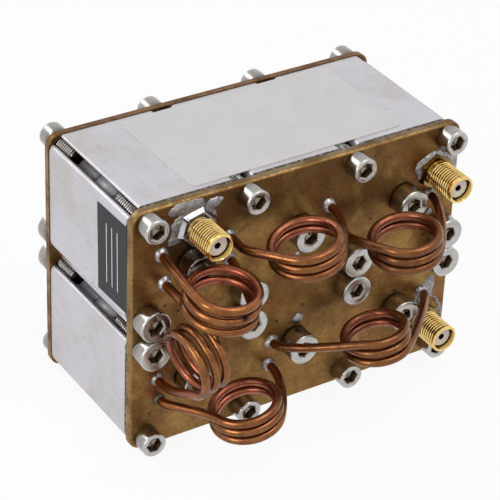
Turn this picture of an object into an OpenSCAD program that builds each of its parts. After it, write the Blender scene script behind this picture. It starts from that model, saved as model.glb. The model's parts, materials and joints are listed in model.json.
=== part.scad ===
// Six-cavity radio duplexer: two bored aluminium bodies between two brass plates,
// six wound copper coupling links on the front, three coaxial jacks and six tuning screws.
// X runs across, Y to the back and Z up. The origin is on the bottom edge of the front
// plate, at the middle of its width and of its thickness.

/* [Cavities] */
// Radius of each round cavity
cavity_r = 11.5; // [9:0.25:12]
// Distance between the cavity centres across the body
cavity_pitch = 26; // [25:0.1:30]
// Distance between the two rows of cavities
row_pitch = 28; // [26:0.1:32]
// Wall between the outer cavities and the sides of the bodies
side_wall = 2.3; // [1.5:0.1:4]
// Wall above the upper cavities and below the lower ones
end_wall = 3.3; // [2.5:0.1:5]

/* [Plates] */
// Thickness of each plate
plate_t = 1.8; // [1.4:0.1:2.4]
// Radius of the plate corners
plate_r = 3; // [1:0.5:3.5]
// Chamfer round the outer face of each plate
plate_edge = 0.4; // [0.2:0.1:0.6]

/* [Bodies] */
// Depth of both bodies, which is the gap between the plates
body_d = 33.2; // [28:0.2:45]
// Distance from the edge of the plates to the side of the bodies
body_inset = 0.2; // [0.1:0.05:0.4]
// Gap between the lower and the upper body
body_gap = 1.2; // [0.8:0.1:1.6]
// Radius of the four long edges of a body
body_r = 3.7; // [3:0.1:4]
// Width of the slot that opens each corner port to the outside
corner_slot_w = 2; // [1.6:0.1:2.6]

/* [Screws] */
// Distance from the side edge of the plate to the outer screw columns
column_edge = 3.7; // [3.5:0.1:4]
// Distance from the top or bottom edge of the plate to the outer screw rows
row_edge = 2.95; // [2.95:0.05:3.2]
// Distance of the two middle screw rows from the middle of the plate
middle_row = 3.55; // [3.53:0.01:3.8]
// Thread diameter of every screw
thread_d = 3.9; // [3:0.1:3.9]
// Head diameter of the screws along the top and bottom edges
small_head_d = 5.5; // [5:0.1:5.8]
// Head diameter of the middle and the tuning screws
large_head_d = 7; // [6.5:0.05:7.05]
// Height of every screw head
head_h = 4; // [3:0.1:4.2]
// Width across the flats of every hexagon socket
socket_af = 3; // [2.5:0.1:3.2]
// Depth of every hexagon socket
socket_depth = 2.2; // [1.5:0.1:2.5]
// Rounding of the top edge of every head
head_round = 0.45; // [0.2:0.05:0.6]
// Length of a front screw below its head
front_screw_l = 11; // [6:0.5:12]
// Length of a back screw below its head
back_screw_l = 8; // [6:0.5:12]
// Length of a tuning screw below its head
tuning_screw_l = 16; // [12:0.5:18]
// Height at which a tuning head stands off the plate
tuning_lift = 0.4; // [0.3:0.05:0.45]

/* [Links] */
// Diameter of the copper wire
wire_d = 1.9; // [1.5:0.1:1.95]
// Length of wire that reaches into a cavity behind the front plate
wire_stub = 3; // [1:0.5:5]
// Outer diameter of the solder collar at each wire
collar_d = 3.3; // [3:0.1:3.6]
// Height of each solder collar
collar_h = 0.9; // [0.5:0.1:1.2]

/* [Jacks] */
// Outer diameter of the threaded barrel
jack_d = 6.25; // [6:0.05:6.5]
// Diameter of the opening in the barrel's face
jack_mouth_d = 4.9; // [4.8:0.1:5.2]
// Depth at which the insulator lies in the barrel
jack_recess = 2; // [0.4:0.1:2.4]
// Diameter of the white insulator
insulator_d = 4.5; // [4:0.1:4.6]
// Diameter of the centre contact
contact_d = 1.27; // [1:0.01:1.5]
// Diameter of the hole in the centre contact
contact_hole_d = 0.95; // [0.6:0.05:1]
// Width across the flats of the hexagon base
hex_af = 7; // [6.8:0.1:7.2]
// Thickness of the hexagon base
hex_t = 1.4; // [1:0.1:2]

/* [Resonators] */
// Outer diameter of the plastic former in each cavity
former_d = 10; // [8:0.5:12]
// Bore of the former, which the tuning screw enters
former_bore_d = 6; // [5:0.5:7]
// Distance between the front plate and the former
former_start = 10; // [6:1:14]
// Wire diameter of the inner coil
inner_wire_d = 1.2; // [0.8:0.1:1.4]
// Number of turns of the inner coil
inner_turns = 4; // [2:1:6]
// Rise of the inner coil in one turn
inner_pitch = 3.6; // [3:0.1:4]

/* [Labels] */
// Width of the paper label across the top
paper_w = 52.4; // [40:0.2:60]
// Bare strip between the front plate and the paper label
paper_strip = 1.9; // [1:0.1:8]
// Thickness of both labels
label_t = 0.2; // [0.1:0.05:0.3]
// Depth of the dark label on the side
side_label_d = 12.2; // [8:0.2:16]
// Height of the dark label on the side
side_label_h = 20.6; // [16:0.2:20.6]

/* [Hidden] */
$fn = 48;

// Fits and clearances
run_fit = 0.05;
screw_hole_fit = 0.15;
wire_hole_fit = 0.35;
drill_fit = -0.35;
through = 1;

// Planes along Y
front_y = -plate_t / 2;
inner_y = plate_t / 2;
back_inner_y = inner_y + body_d;
back_y = back_inner_y + plate_t;

// Sizes of the plates and bodies, and the heights of the cavity rows
plate_w = 2 * (cavity_pitch + cavity_r + side_wall + body_inset);
plate_h = row_pitch + 2 * (cavity_r + end_wall + body_inset);
middle_z = plate_h / 2;
body_h = middle_z - body_inset - body_gap / 2;
body_w = plate_w - 2 * body_inset;
upper_z = middle_z + body_gap / 2;
row_z = [middle_z + row_pitch / 2, middle_z - row_pitch / 2];
top_z = plate_h - body_inset;

// Screw pattern of both plates
columns = [-plate_w / 2 + column_edge, -cavity_pitch / 2, cavity_pitch / 2, plate_w / 2 - column_edge];
edge_rows = [row_edge, plate_h - row_edge];
middle_rows = [middle_z - middle_row, middle_z + middle_row];
tap_l = 13;
port_sides = 24;

// Cavities are numbered 1 to 3 in the upper row and 4 to 6 in the lower row
function cavity(n) = [((n - 1) % 3 - 1) * cavity_pitch, row_z[n <= 3 ? 0 : 1]];

// Places of the jacks beside their cavities, and how far each stands off the plate
jack_left = cavity(1) + [0.8, 8.1];
jack_upper = cavity(3) + [7.7, 4.5];
jack_lower = cavity(6) + [7.4, -5.5];
jack_left_l = 9.4;
jack_upper_l = 9.9;
jack_lower_l = 9.6;
jack_neck_l = 0.3;
jack_neck_d = jack_d - 0.7;
jack_lip = 0.25;
contact_hole_l = 2.5;
contact_sink = 0.2;
contact_tail = 2;

// Each link is [start hole, end hole, centre from the midpoint of the holes, reach in front
// of the plate, coil radius, pitch, tilts about X, Y and Z, first and last angle, four pulls
// that set how straight the wire leaves the plate and meets the coil]
upper_right_link = [
    cavity(2) + [9.6, -2.5], cavity(3) + [7, -1.3],
    [-3.4, 1.6], 12.2, 7, 2.3, [1.5, -8, 0], -148, 671, [4, 12, 6.5, 3.5]
];
upper_middle_link = [
    cavity(1) + [8.6, 3.5], cavity(2) + [6.9, 3.6],
    [-1.9, 2.4], 12.2, 7.1, 2.2, [0, -12, 0], -146, 684, [6.5, 12, 6, 5.5]
];
upper_left_link = [
    cavity(1) + [-7.3, 3.9], cavity(1) + [8.8, -1.9],
    [-1.7, 0.2], 13.4, 7.15, 2.75, [8.5, 2, -8], -139, 680, [2.5, 3, 3, 1.2]
];
side_link = [
    cavity(4) + [-7.7, 1.6], cavity(1) + [-6.5, -3.1],
    [-1.5, 0.1], 12.6, 6.75, 2.5, [-15, -12, 6], -81, 782, [5, 6.5, 5, 7.5]
];
lower_left_link = [
    cavity(4) + [-7.1, -3.7], cavity(5) + [-6.3, -4.1],
    [-0.5, 2.4], 12.4, 7, 2.3, [-1.5, -13.5, 0], -165, 675, [2.5, 5.5, 4.5, 5]
];
lower_right_link = [
    cavity(5) + [-5.9, 1.7], cavity(6) + [7.2, 1.7],
    [-1.6, 4.1], 12, 6.6, 2.35, [-7, -10, 1], -130, 662, [4, 7.5, 5.8, 2]
];
links = [
    upper_right_link, upper_middle_link, upper_left_link,
    side_link, lower_left_link, lower_right_link
];
wire_sides = 8;
lead_steps = 9;
turn_steps = 24;

// Solder dots of the hidden pins, from the centre of their cavity
pin_dots = [
    cavity(2) + [-0.3, -5.9], cavity(2) + [7.6, -0.7], cavity(3) + [7.3, -5.7], cavity(5) + [0.7, 5.4]
];
pin_dot_r = [0.6, 0.6, 0.8, 1.1];

// Solder round each jack: discs of [distance, direction, radius, height]
left_solder = [
    [4.7, 132, 2.7, 0.7], [3.6, 98, 2.6, 0.9], [4.5, 170, 1.9, 0.6], [5, 202, 1.6, 0.35],
    [4.3, 26, 1.4, 0.4], [5, 53, 1.1, 0.3], [6.5, 46, 1.2, 0.3]
];
upper_solder = [
    [3.8, 140, 1.5, 0.6], [3.7, 104, 1.4, 0.6], [4.2, 48, 1.4, 0.4], [4.6, 10, 1.1, 0.4],
    [4.6, 169, 0.8, 0.4]
];
lower_solder = [
    [3.9, 115, 1.2, 0.6], [4.9, 36, 1.1, 0.4], [5.4, -4, 0.7, 0.3], [7.5, 75, 1.3, 0.4],
    [9.1, 77, 1, 0.3], [10.4, 78, 0.7, 0.3]
];

// Resonators
inner_sides = 6;
inner_turn_steps = 12;
coil_seat = 0.05;
inner_coil_start = 2;

// Places of the labels
paper_x = 1.8;
paper_back_gap = 0.7;
paper_corner_r = 1.8;
side_label_gap = 0.1;

brass = [0.68, 0.52, 0.27];
gold = [0.83, 0.66, 0.3];
aluminium = [0.78, 0.78, 0.8];
steel = [0.72, 0.71, 0.69];
copper = [0.55, 0.29, 0.2];
solder = [0.66, 0.66, 0.67];

// General shapes

module along_y(y, length) {
    translate([0, y + length, 0]) rotate([90, 0, 0]) linear_extrude(height = length) children();
}

module bar(centre, r, y, length) {
    translate([centre[0], y + length, centre[1]]) rotate([90, 0, 0]) cylinder(r = r, h = length);
}

module rounded_rectangle(w, h, r) {
    translate([-w / 2 + r, 0]) square([w - 2 * r, h]);
    translate([-w / 2, r]) square([w, h - 2 * r]);
    for (x = [-1, 1], z = [r, h - r]) translate([x * (w / 2 - r), z]) circle(r = r);
}

// Points along curves

function bezier(a, b, c, d, t) =
    pow(1 - t, 3) * a + 3 * t * pow(1 - t, 2) * b + 3 * t * t * (1 - t) * c + t * t * t * d;

function turn(v, a) = [
    v[0] * cos(a[1]) * cos(a[2])
        + v[1] * (sin(a[0]) * sin(a[1]) * cos(a[2]) - cos(a[0]) * sin(a[2]))
        + v[2] * (cos(a[0]) * sin(a[1]) * cos(a[2]) + sin(a[0]) * sin(a[2])),
    v[0] * cos(a[1]) * sin(a[2])
        + v[1] * (sin(a[0]) * sin(a[1]) * sin(a[2]) + cos(a[0]) * cos(a[2]))
        + v[2] * (cos(a[0]) * sin(a[1]) * sin(a[2]) - sin(a[0]) * cos(a[2])),
    -v[0] * sin(a[1]) + v[1] * sin(a[0]) * cos(a[1]) + v[2] * cos(a[0]) * cos(a[1])
];

// A helix about Z that winds down, or one about X that winds to the right
function upright_point(r, pitch, a) = [r * cos(a), r * sin(a), -pitch * a / 360];
function lying_point(r, pitch, a) = [pitch * a / 360, -r * cos(a), r * sin(a)];
function helix_point(lying, r, pitch, a) = lying ? lying_point(r, pitch, a) : upright_point(r, pitch, a);

function link_centre(k) =
    let (mid = (k[0] + k[1]) / 2) [mid[0] + k[2][0], front_y - k[3], mid[1] + k[2][1]];
function link_point(k, lying, a) = link_centre(k) + turn(helix_point(lying, k[4], k[5], a), k[6]);
function heading(k, lying, a) =
    let (v = link_point(k, lying, a + 0.5) - link_point(k, lying, a - 0.5)) v / norm(v);

function link_route(k, lying) =
    let (
        out = [0, -1, 0],
        s = [k[0][0], front_y - collar_h, k[0][1]],
        e = [k[1][0], front_y - collar_h, k[1][1]],
        behind = [0, plate_t + wire_stub + collar_h, 0],
        h0 = link_point(k, lying, k[7]),
        h1 = link_point(k, lying, k[8]),
        steps = ceil((k[8] - k[7]) / 360 * turn_steps)
    ) concat(
        [s + behind],
        [for (i = [0:lead_steps - 1])
            bezier(s, s + out * k[9][0], h0 - heading(k, lying, k[7]) * k[9][1], h0, i / lead_steps)],
        [for (i = [0:steps]) link_point(k, lying, k[7] + (k[8] - k[7]) * i / steps)],
        [for (i = [1:lead_steps])
            bezier(h1, h1 + heading(k, lying, k[8]) * k[9][2], e + out * k[9][3], e, i / lead_steps)],
        [e + behind]
    );

// Sweeps a round wire along a route; up must never run along the route
module wire(route, d, sides, up) {
    n = len(route);
    rings = [for (i = [0:n - 1])
        let (
            t = route[min(i + 1, n - 1)] - route[max(i - 1, 0)],
            u = cross(t, up) / norm(cross(t, up)),
            w = cross(u, t) / norm(t)
        )
        for (j = [0:sides - 1])
            route[i] + (u * cos(360 * j / sides) + w * sin(360 * j / sides)) * d / 2
    ];
    sides_faces = [for (i = [0:n - 2], j = [0:sides - 1])
        let (a = i * sides + j, b = i * sides + (j + 1) % sides)
        for (f = [[a, b, b + sides], [a, b + sides, a + sides]]) f
    ];
    first = [for (j = [sides - 1:-1:0]) j];
    last = [for (j = [0:sides - 1]) (n - 1) * sides + j];
    polyhedron(points = rings, faces = concat([first], sides_faces, [last]));
}

// Plates

// A sheet whose outer face is at the near end of Y, with a chamfer round that face
module plate_blank() {
    hull() for (x = [-1, 1], z = [plate_r, plate_h - plate_r]) {
        bar([x * (plate_w / 2 - plate_r), z], plate_r - plate_edge, 0, plate_t, $fn = 32);
        bar([x * (plate_w / 2 - plate_r), z], plate_r, plate_edge, plate_t - plate_edge, $fn = 32);
    }
}

module screw_holes(y) {
    for (x = columns, z = concat(edge_rows, middle_rows))
        bar([x, z], thread_d / 2 + screw_hole_fit, y - through, plate_t + 2 * through);
}

module front_plate() {
    color(brass) difference() {
        translate([0, front_y, 0]) plate_blank();
        screw_holes(front_y);
        for (n = [1:6]) bar(cavity(n), thread_d / 2, front_y - through, plate_t + 2 * through);
        for (k = links, p = [k[0], k[1]])
            bar(p, wire_d / 2 + wire_hole_fit, front_y - through, plate_t + 2 * through);
        for (p = [jack_left, jack_upper, jack_lower])
            bar(p, insulator_d / 2 + run_fit, front_y - through, plate_t + 2 * through);
    }
}

module back_plate() {
    color(brass) difference() {
        translate([0, back_y, 0]) mirror([0, 1, 0]) plate_blank();
        screw_holes(back_inner_y);
    }
}

// Bodies

// A round screw port of the core size, open to the outside through a slot
module port(place, direction, opening) {
    translate(place) {
        circle(r = thread_d / 2 + drill_fit, $fn = port_sides);
        rotate(direction) translate([0, -opening / 2]) square([body_r + thread_d, opening]);
    }
}

// The section of the extrusion: the ports of the outer columns open towards the corners, and
// those of the middle columns straight up or down
module body_profile(bottom, first_cavity, screw_rows) {
    middle_slot_w = thread_d + 2 * run_fit;
    difference() {
        translate([0, bottom]) rounded_rectangle(body_w, body_h, body_r);
        for (n = [first_cavity:first_cavity + 2]) translate(cavity(n)) circle(r = cavity_r);
        for (row = [0, 1]) {
            port([columns[0], screw_rows[row]], row == 0 ? 225 : 135, corner_slot_w);
            port([columns[1], screw_rows[row]], row == 0 ? 270 : 90, middle_slot_w);
            port([columns[2], screw_rows[row]], row == 0 ? 270 : 90, middle_slot_w);
            port([columns[3], screw_rows[row]], row == 0 ? 315 : 45, corner_slot_w);
        }
    }
}

// An extruded body whose ports are tapped at both ends
module body(bottom, first_cavity, screw_rows) {
    color(aluminium) difference() {
        along_y(inner_y, body_d) body_profile(bottom, first_cavity, screw_rows);
        for (x = columns, z = screw_rows, y = [inner_y - through, back_inner_y - tap_l])
            bar([x, z], thread_d / 2 + run_fit, y, tap_l + through, $fn = port_sides);
    }
}

module upper_body() {
    body(upper_z, 1, [middle_rows[1], edge_rows[1]]);
}

module lower_body() {
    body(body_inset, 4, [edge_rows[0], middle_rows[0]]);
}

// Copper links

module link(k, lying) {
    color(copper) wire(link_route(k, lying), wire_d, wire_sides, lying ? [1, 0, 0] : [0, 0, 1]);
}

module link_upper_right() { link(upper_right_link, false); }
module link_upper_middle() { link(upper_middle_link, false); }
module link_upper_left() { link(upper_left_link, false); }
module link_side() { link(side_link, true); }
module link_lower_left() { link(lower_left_link, false); }
module link_lower_right() { link(lower_right_link, false); }

// A low cone of solder with a flat top
module solder_cone(centre, bore_r, base_r, top_r, h) {
    translate([centre[0], front_y, centre[1]]) rotate([90, 0, 0])
        rotate_extrude() polygon([
            [bore_r, 0], [base_r, 0], [base_r, h * 0.3], [top_r, h], [bore_r, h]
        ]);
}

module link_collars() {
    color(solder) for (k = links, p = [k[0], k[1]])
        solder_cone(p, wire_d / 2 + run_fit, collar_d / 2, wire_d / 2 + 0.25, collar_h);
}

module plate_solder() {
    color(solder) for (i = [0:len(pin_dots) - 1])
        solder_cone(pin_dots[i], 0, pin_dot_r[i], pin_dot_r[i] * 0.5, pin_dot_r[i] * 0.7);
}

module solder_patch(centre, discs) {
    difference() {
        union() for (s = discs)
            bar(centre + s[0] * [cos(s[1]), sin(s[1])], s[2], front_y - s[3], s[3]);
        translate([centre[0], front_y + through, centre[1]]) rotate([90, 30, 0])
            cylinder(d = (hex_af + 2 * run_fit) / cos(30), h = hex_t + 2 * through, $fn = 6);
    }
}

// The sheets leave room for the collars of the links beside them
module jack_solder() {
    color(solder) difference() {
        union() {
            solder_patch(jack_left, left_solder);
            solder_patch(jack_upper, upper_solder);
            solder_patch(jack_lower, lower_solder);
        }
        for (k = links, p = [k[0], k[1]])
            bar(p, collar_d / 2 + run_fit, front_y - collar_h, collar_h + through);
    }
}

// Coaxial jacks

module jack_shell(centre, length) {
    mouth_r = jack_mouth_d / 2;
    bore_r = insulator_d / 2 + run_fit;
    color(gold) translate([centre[0], front_y, centre[1]]) rotate([90, 0, 0]) {
        difference() {
            rotate([0, 0, 30]) cylinder(d = hex_af / cos(30), h = hex_t, $fn = 6);
            translate([0, 0, -through]) cylinder(r = bore_r, h = hex_t + 2 * through);
        }
        rotate_extrude() polygon([
            [bore_r, 0], [jack_neck_d / 2, 0], [jack_neck_d / 2, hex_t + jack_neck_l],
            [jack_d / 2, hex_t + jack_neck_l + jack_lip], [jack_d / 2, length - jack_lip],
            [jack_d / 2 - jack_lip, length], [mouth_r, length], [mouth_r, length - jack_recess],
            [bore_r, length - jack_recess]
        ]);
    }
}

module jack_insulator(centre, length) {
    color("white") difference() {
        bar(centre, insulator_d / 2, front_y - length + jack_recess, length - jack_recess + plate_t);
        bar(centre, contact_d / 2 + run_fit, front_y - length - through, length + plate_t + 2 * through);
    }
}

module jack_contact(centre, length) {
    color(gold) difference() {
        bar(centre, contact_d / 2, front_y - length + jack_recess + contact_sink,
            length - jack_recess - contact_sink + plate_t + contact_tail);
        bar(centre, contact_hole_d / 2, front_y - length + jack_recess - through,
            contact_hole_l + through);
    }
}

module jack_left_shell() { jack_shell(jack_left, jack_left_l); }
module jack_left_insulator() { jack_insulator(jack_left, jack_left_l); }
module jack_left_contact() { jack_contact(jack_left, jack_left_l); }
module jack_upper_shell() { jack_shell(jack_upper, jack_upper_l); }
module jack_upper_insulator() { jack_insulator(jack_upper, jack_upper_l); }
module jack_upper_contact() { jack_contact(jack_upper, jack_upper_l); }
module jack_lower_shell() { jack_shell(jack_lower, jack_lower_l); }
module jack_lower_insulator() { jack_insulator(jack_lower, jack_lower_l); }
module jack_lower_contact() { jack_contact(jack_lower, jack_lower_l); }

// Screws

// A socket head screw with its seat at z 0, the head above it and the thread below
module screw(head_d, length) {
    shank_r = thread_d / 2 - run_fit;
    tip = 0.4;
    difference() {
        rotate_extrude() {
            polygon([
                [0, -length], [shank_r - tip, -length], [shank_r, -length + tip], [shank_r, 0],
                [head_d / 2, 0], [head_d / 2, head_h - head_round],
                [head_d / 2 - head_round * 0.3, head_h - head_round * 0.3],
                [head_d / 2 - head_round, head_h], [0, head_h]
            ]);
        }
        translate([0, 0, head_h - socket_depth])
            cylinder(d = socket_af / cos(30), h = socket_depth + through, $fn = 6);
    }
}

module front_screws(rows, head_d) {
    color(steel) for (x = columns, z = rows)
        translate([x, front_y, z]) rotate([90, 0, 0]) screw(head_d, front_screw_l);
}

module back_screws(rows, head_d) {
    color(steel) for (x = columns, z = rows)
        translate([x, back_y, z]) rotate([-90, 0, 0]) screw(head_d, back_screw_l);
}

module front_edge_screws() { front_screws(edge_rows, small_head_d); }
module front_middle_screws() { front_screws(middle_rows, large_head_d); }
module back_edge_screws() { back_screws(edge_rows, small_head_d); }
module back_middle_screws() { back_screws(middle_rows, large_head_d); }

module tuning_screw(n) {
    c = cavity(n);
    color(steel) translate([c[0], front_y - tuning_lift, c[1]]) rotate([90, 0, 0])
        screw(large_head_d, tuning_screw_l);
}

// Resonators inside the cavities

module coil_former(n) {
    y = inner_y + former_start;
    length = back_inner_y - y;
    color("ivory") difference() {
        bar(cavity(n), former_d / 2, y, length);
        bar(cavity(n), former_bore_d / 2, y - through, length + 2 * through);
    }
}

// The open end points at the tuning screw and the tail reaches the back plate. The straight
// steps of the coil stay clear of the former.
function resonator_route(n) =
    let (
        r = (former_d / 2 + inner_wire_d / 2 + coil_seat) / cos(180 / inner_turn_steps),
        c = cavity(n),
        y0 = inner_y + former_start + inner_coil_start,
        steps = inner_turns * inner_turn_steps,
        y1 = y0 + inner_turns * inner_pitch
    ) concat(
        [for (i = [0:steps])
            let (a = 360 * i / inner_turn_steps)
                [c[0] + r * sin(a), y0 + inner_pitch * i / inner_turn_steps, c[1] + r * cos(a)]],
        [[c[0] + r * sin(15), y1 + 1, c[1] + r * cos(15)],
            [c[0] + r * sin(18), back_inner_y - coil_seat, c[1] + r * cos(18)]]
    );

module resonator_coil(n) {
    color(copper) wire(resonator_route(n), inner_wire_d, inner_sides, [0.2, 1, 0.1]);
}

// Labels

module paper_label() {
    color("white") translate([paper_x, inner_y + paper_strip, top_z])
        linear_extrude(height = label_t)
            rounded_rectangle(paper_w, body_d - paper_strip - paper_back_gap, paper_corner_r);
}

module side_label() {
    color([0.3, 0.3, 0.32])
        translate([-body_w / 2 - label_t, inner_y + side_label_gap, upper_z + body_r + side_label_gap])
            cube([label_t, side_label_d, side_label_h]);
}

front_plate();
back_plate();
upper_body();
lower_body();
link_upper_right();
link_upper_middle();
link_upper_left();
link_side();
link_lower_left();
link_lower_right();
link_collars();
plate_solder();
jack_solder();
jack_left_shell();
jack_left_insulator();
jack_left_contact();
jack_upper_shell();
jack_upper_insulator();
jack_upper_contact();
jack_lower_shell();
jack_lower_insulator();
jack_lower_contact();
front_edge_screws();
front_middle_screws();
back_edge_screws();
back_middle_screws();
tuning_screw(1);  // tuning_screw_1
tuning_screw(2);  // tuning_screw_2
tuning_screw(3);  // tuning_screw_3
tuning_screw(4);  // tuning_screw_4
tuning_screw(5);  // tuning_screw_5
tuning_screw(6);  // tuning_screw_6
resonator_coil(1);  // resonator_coil_1
resonator_coil(2);  // resonator_coil_2
resonator_coil(3);  // resonator_coil_3
resonator_coil(4);  // resonator_coil_4
resonator_coil(5);  // resonator_coil_5
resonator_coil(6);  // resonator_coil_6
coil_former(1);  // coil_former_1
coil_former(2);  // coil_former_2
coil_former(3);  // coil_former_3
coil_former(4);  // coil_former_4
coil_former(5);  // coil_former_5
coil_former(6);  // coil_former_6
paper_label();
side_label();
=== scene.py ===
"""Looks of a compact cavity duplexer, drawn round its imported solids. Every length is in metres."""

import json
import math

import bmesh
import bpy
import numpy as np
from mathutils import Euler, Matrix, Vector, kdtree


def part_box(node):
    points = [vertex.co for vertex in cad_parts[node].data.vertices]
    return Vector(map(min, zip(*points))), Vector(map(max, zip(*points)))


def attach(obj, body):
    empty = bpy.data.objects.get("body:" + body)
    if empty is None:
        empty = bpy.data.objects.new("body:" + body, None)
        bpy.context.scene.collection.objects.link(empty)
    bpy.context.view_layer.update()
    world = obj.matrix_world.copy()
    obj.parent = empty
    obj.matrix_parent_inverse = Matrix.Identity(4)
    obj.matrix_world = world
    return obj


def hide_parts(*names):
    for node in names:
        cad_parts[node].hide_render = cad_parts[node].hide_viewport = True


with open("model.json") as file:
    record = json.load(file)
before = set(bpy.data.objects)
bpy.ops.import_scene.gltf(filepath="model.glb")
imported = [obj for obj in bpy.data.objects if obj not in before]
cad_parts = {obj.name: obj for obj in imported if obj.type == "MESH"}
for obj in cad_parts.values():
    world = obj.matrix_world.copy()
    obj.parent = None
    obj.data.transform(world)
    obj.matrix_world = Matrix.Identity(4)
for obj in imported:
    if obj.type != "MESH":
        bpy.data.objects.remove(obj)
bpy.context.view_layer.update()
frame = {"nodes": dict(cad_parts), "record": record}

MM = 0.001

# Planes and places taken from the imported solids
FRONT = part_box("front_plate")[0][1]
PLATE_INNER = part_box("front_plate")[1][1]
BACK_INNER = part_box("back_plate")[0][1]
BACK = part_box("back_plate")[1][1]
PLATE_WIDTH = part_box("front_plate")[1][0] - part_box("front_plate")[0][0]
PLATE_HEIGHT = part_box("front_plate")[1][2]
PLATE_CORNER = 3 * MM

# Camera, solved from the photograph
CAMERA_AZIMUTH = math.radians(-33.42)
CAMERA_ELEVATION = math.radians(32.72)
CAMERA_ROLL = math.radians(2.45)
CAMERA_DISTANCE = 0.4612
CAMERA_AIM = Vector((-0.01249, -0.0009, 0.04103))
CAMERA_LENS = 162.6
CAMERA_SENSOR = 36
CAMERA_SHIFT = (0.0028, 0.0047)

# Lamps: place, width and height, power in watts. All aim at the middle of the block.
LAMPS = {
    "key": ((0.2, -0.3, 0.8), (0.5, 0.5), 2.4),
    "side": ((-0.8, -0.2, 0.35), (0.45, 0.45), 3.0),
    "rim": ((-0.42, 0.72, 0.63), (0.55, 0.3), 1.7),
}
LAMP_AIM = Vector((0, 0.01, 0.03))
AMBIENT_COLOUR = (0.95, 0.96, 1.0, 1.0)
AMBIENT_STRENGTH = 0.34
WHITE = (1, 1, 1, 1)
FLOOR_WHITE = 0.92
FLOOR_HALF = 2.0

# Screws
THREAD_PITCH = 0.7 * MM
THREAD_RADIUS = 1.9 * MM
THREAD_DEPTH = 0.42 * MM
ROWS_PER_TURN = 7
SOCKET_FLATS = 3 * MM
SOCKET_DEPTH = 2.2 * MM
SOCKET_CHAMFER = 0.34 * MM
HEAD_HEIGHT = 4 * MM
HEAD_EDGE = 0.36 * MM
SMALL_HEAD_RADIUS = 2.75 * MM
LARGE_HEAD_RADIUS = 3.5 * MM
FRONT_SCREW_LENGTH = 11 * MM
BACK_SCREW_LENGTH = 8 * MM
TUNING_SCREW_LENGTH = 16 * MM
KNURLS = 44
KNURL_DEPTH = 0.09 * MM
ROUND_STEPS = 48
PATTERN_SEED = 3

# Columns of the screws from left to right, groups of fixed screws with the radius of their
# heads, the two rows of each group, and columns of the cavities
SCREW_COLUMNS = (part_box("front_edge_screws")[0][0] + SMALL_HEAD_RADIUS, -13 * MM, 13 * MM,
                 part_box("front_edge_screws")[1][0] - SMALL_HEAD_RADIUS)
FIXED_SCREWS = {"front_edge_screws": SMALL_HEAD_RADIUS, "front_middle_screws": LARGE_HEAD_RADIUS,
                "back_edge_screws": SMALL_HEAD_RADIUS, "back_middle_screws": LARGE_HEAD_RADIUS}
SCREW_ROWS = {node: (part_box(node)[0][2] + radius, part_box(node)[1][2] - radius)
              for node, radius in FIXED_SCREWS.items()}
CAVITY_COLUMNS = (-26 * MM, 0, 26 * MM)

# Bodies: cavity radius, long edges, ports for the screws with their threads
CAVITY_RADIUS = 11.5 * MM
CAVITY_SIDES = 64
BODY_EDGE = 3.7 * MM
PORT_RADIUS = 1.6 * MM
TAP_RADIUS = 2 * MM
TAP_LENGTH = 13 * MM
TAP_SHOWN = 2.6 * MM
TAP_STEPS = 20
CORNER_SLOT = 2 * MM
MIDDLE_SLOT = 4 * MM
PORT_STEPS = 22
LIP_ROUND = 1 * MM
LIP_REACH = 20 * MM
# How deep the plain middle of a port is beside its tapped ends
FLOOR_SHARE = 0.5
VALLEY_EASE = 2 * MM
# The rear ends of the ports, where the painted shade is darkest, and how much painted shade their parts get,
# from 0 to 1
DARK_LENGTH = 8.5 * MM
VALLEY_SHADE = 0.42
SLEEVE_SHADE = 0.3

# Jacks
JACK_RADIUS = 3.125 * MM
JACK_THREAD_PITCH = 0.706 * MM
JACK_THREAD_DEPTH = 0.4 * MM
JACK_MOUTH_RADIUS = 2.55 * MM
JACK_BORE_RADIUS = 2.3 * MM
JACK_RECESS = 2 * MM
JACK_HEX_FLATS = 7 * MM
JACK_HEX_THICKNESS = 1.4 * MM
JACK_NECK = 0.3 * MM
JACK_SIDES = 72
INSULATOR_STEP = 0.7 * MM
INSULATOR_HOLE = 0.66 * MM
INSULATOR_SIDES = 64

# Links: start and end hole and coil centre on the plate, distance in front of it, coil
# radius, pitch, tilts about X, Y and Z in degrees, first and last angle, four pulls, and
# whether the coil lies along X. Lengths are in millimetres.
WIRE_RADIUS = 0.95 * MM
WIRE_SIDES = 24
COLLAR_RADIUS = 1.65
COLLAR_CORE = 0.98
COLLAR_HEIGHT = 0.9
LINKS = {
    "link_upper_right": ((9.6, 40.5), (33, 41.7), (-3.4, 1.6), 12.2, 7, 2.3, (1.5, -8, 0),
                         -148, 671, (4, 12, 6.5, 3.5), False),
    "link_upper_middle": ((-17.4, 46.5), (6.9, 46.6), (-1.9, 2.4), 12.2, 7.1, 2.2, (0, -12, 0),
                          -146, 684, (6.5, 12, 6, 5.5), False),
    "link_upper_left": ((-33.3, 46.9), (-17.2, 41.1), (-1.7, 0.2), 13.4, 7.15, 2.75, (8.5, 2, -8),
                        -139, 680, (2.5, 3, 3, 1.2), False),
    "link_side": ((-33.7, 16.6), (-32.5, 39.9), (-1.5, 0.1), 12.6, 6.75, 2.5, (-15, -12, 6),
                  -81, 782, (5, 6.5, 5, 7.5), True),
    "link_lower_left": ((-33.1, 11.3), (-6.3, 10.9), (-0.5, 2.4), 12.4, 7, 2.3, (-1.5, -13.5, 0),
                        -165, 675, (2.5, 5.5, 4.5, 5), False),
    "link_lower_right": ((-5.9, 16.7), (33.2, 16.7), (-1.6, 4.1), 12, 6.6, 2.35, (-7, -10, 1),
                         -130, 662, (4, 7.5, 5.8, 2), False),
}
WIRE_AGE = {"link_upper_right": 0.7, "link_upper_middle": 0.35, "link_upper_left": 0.05,
            "link_side": 0.2, "link_lower_left": 0.2, "link_lower_right": 0.7}
WIRE_STUB = 3
LEAD_STEPS = 24
COIL_STEP = 5
PLATE_THICKNESS = 1.8
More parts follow.
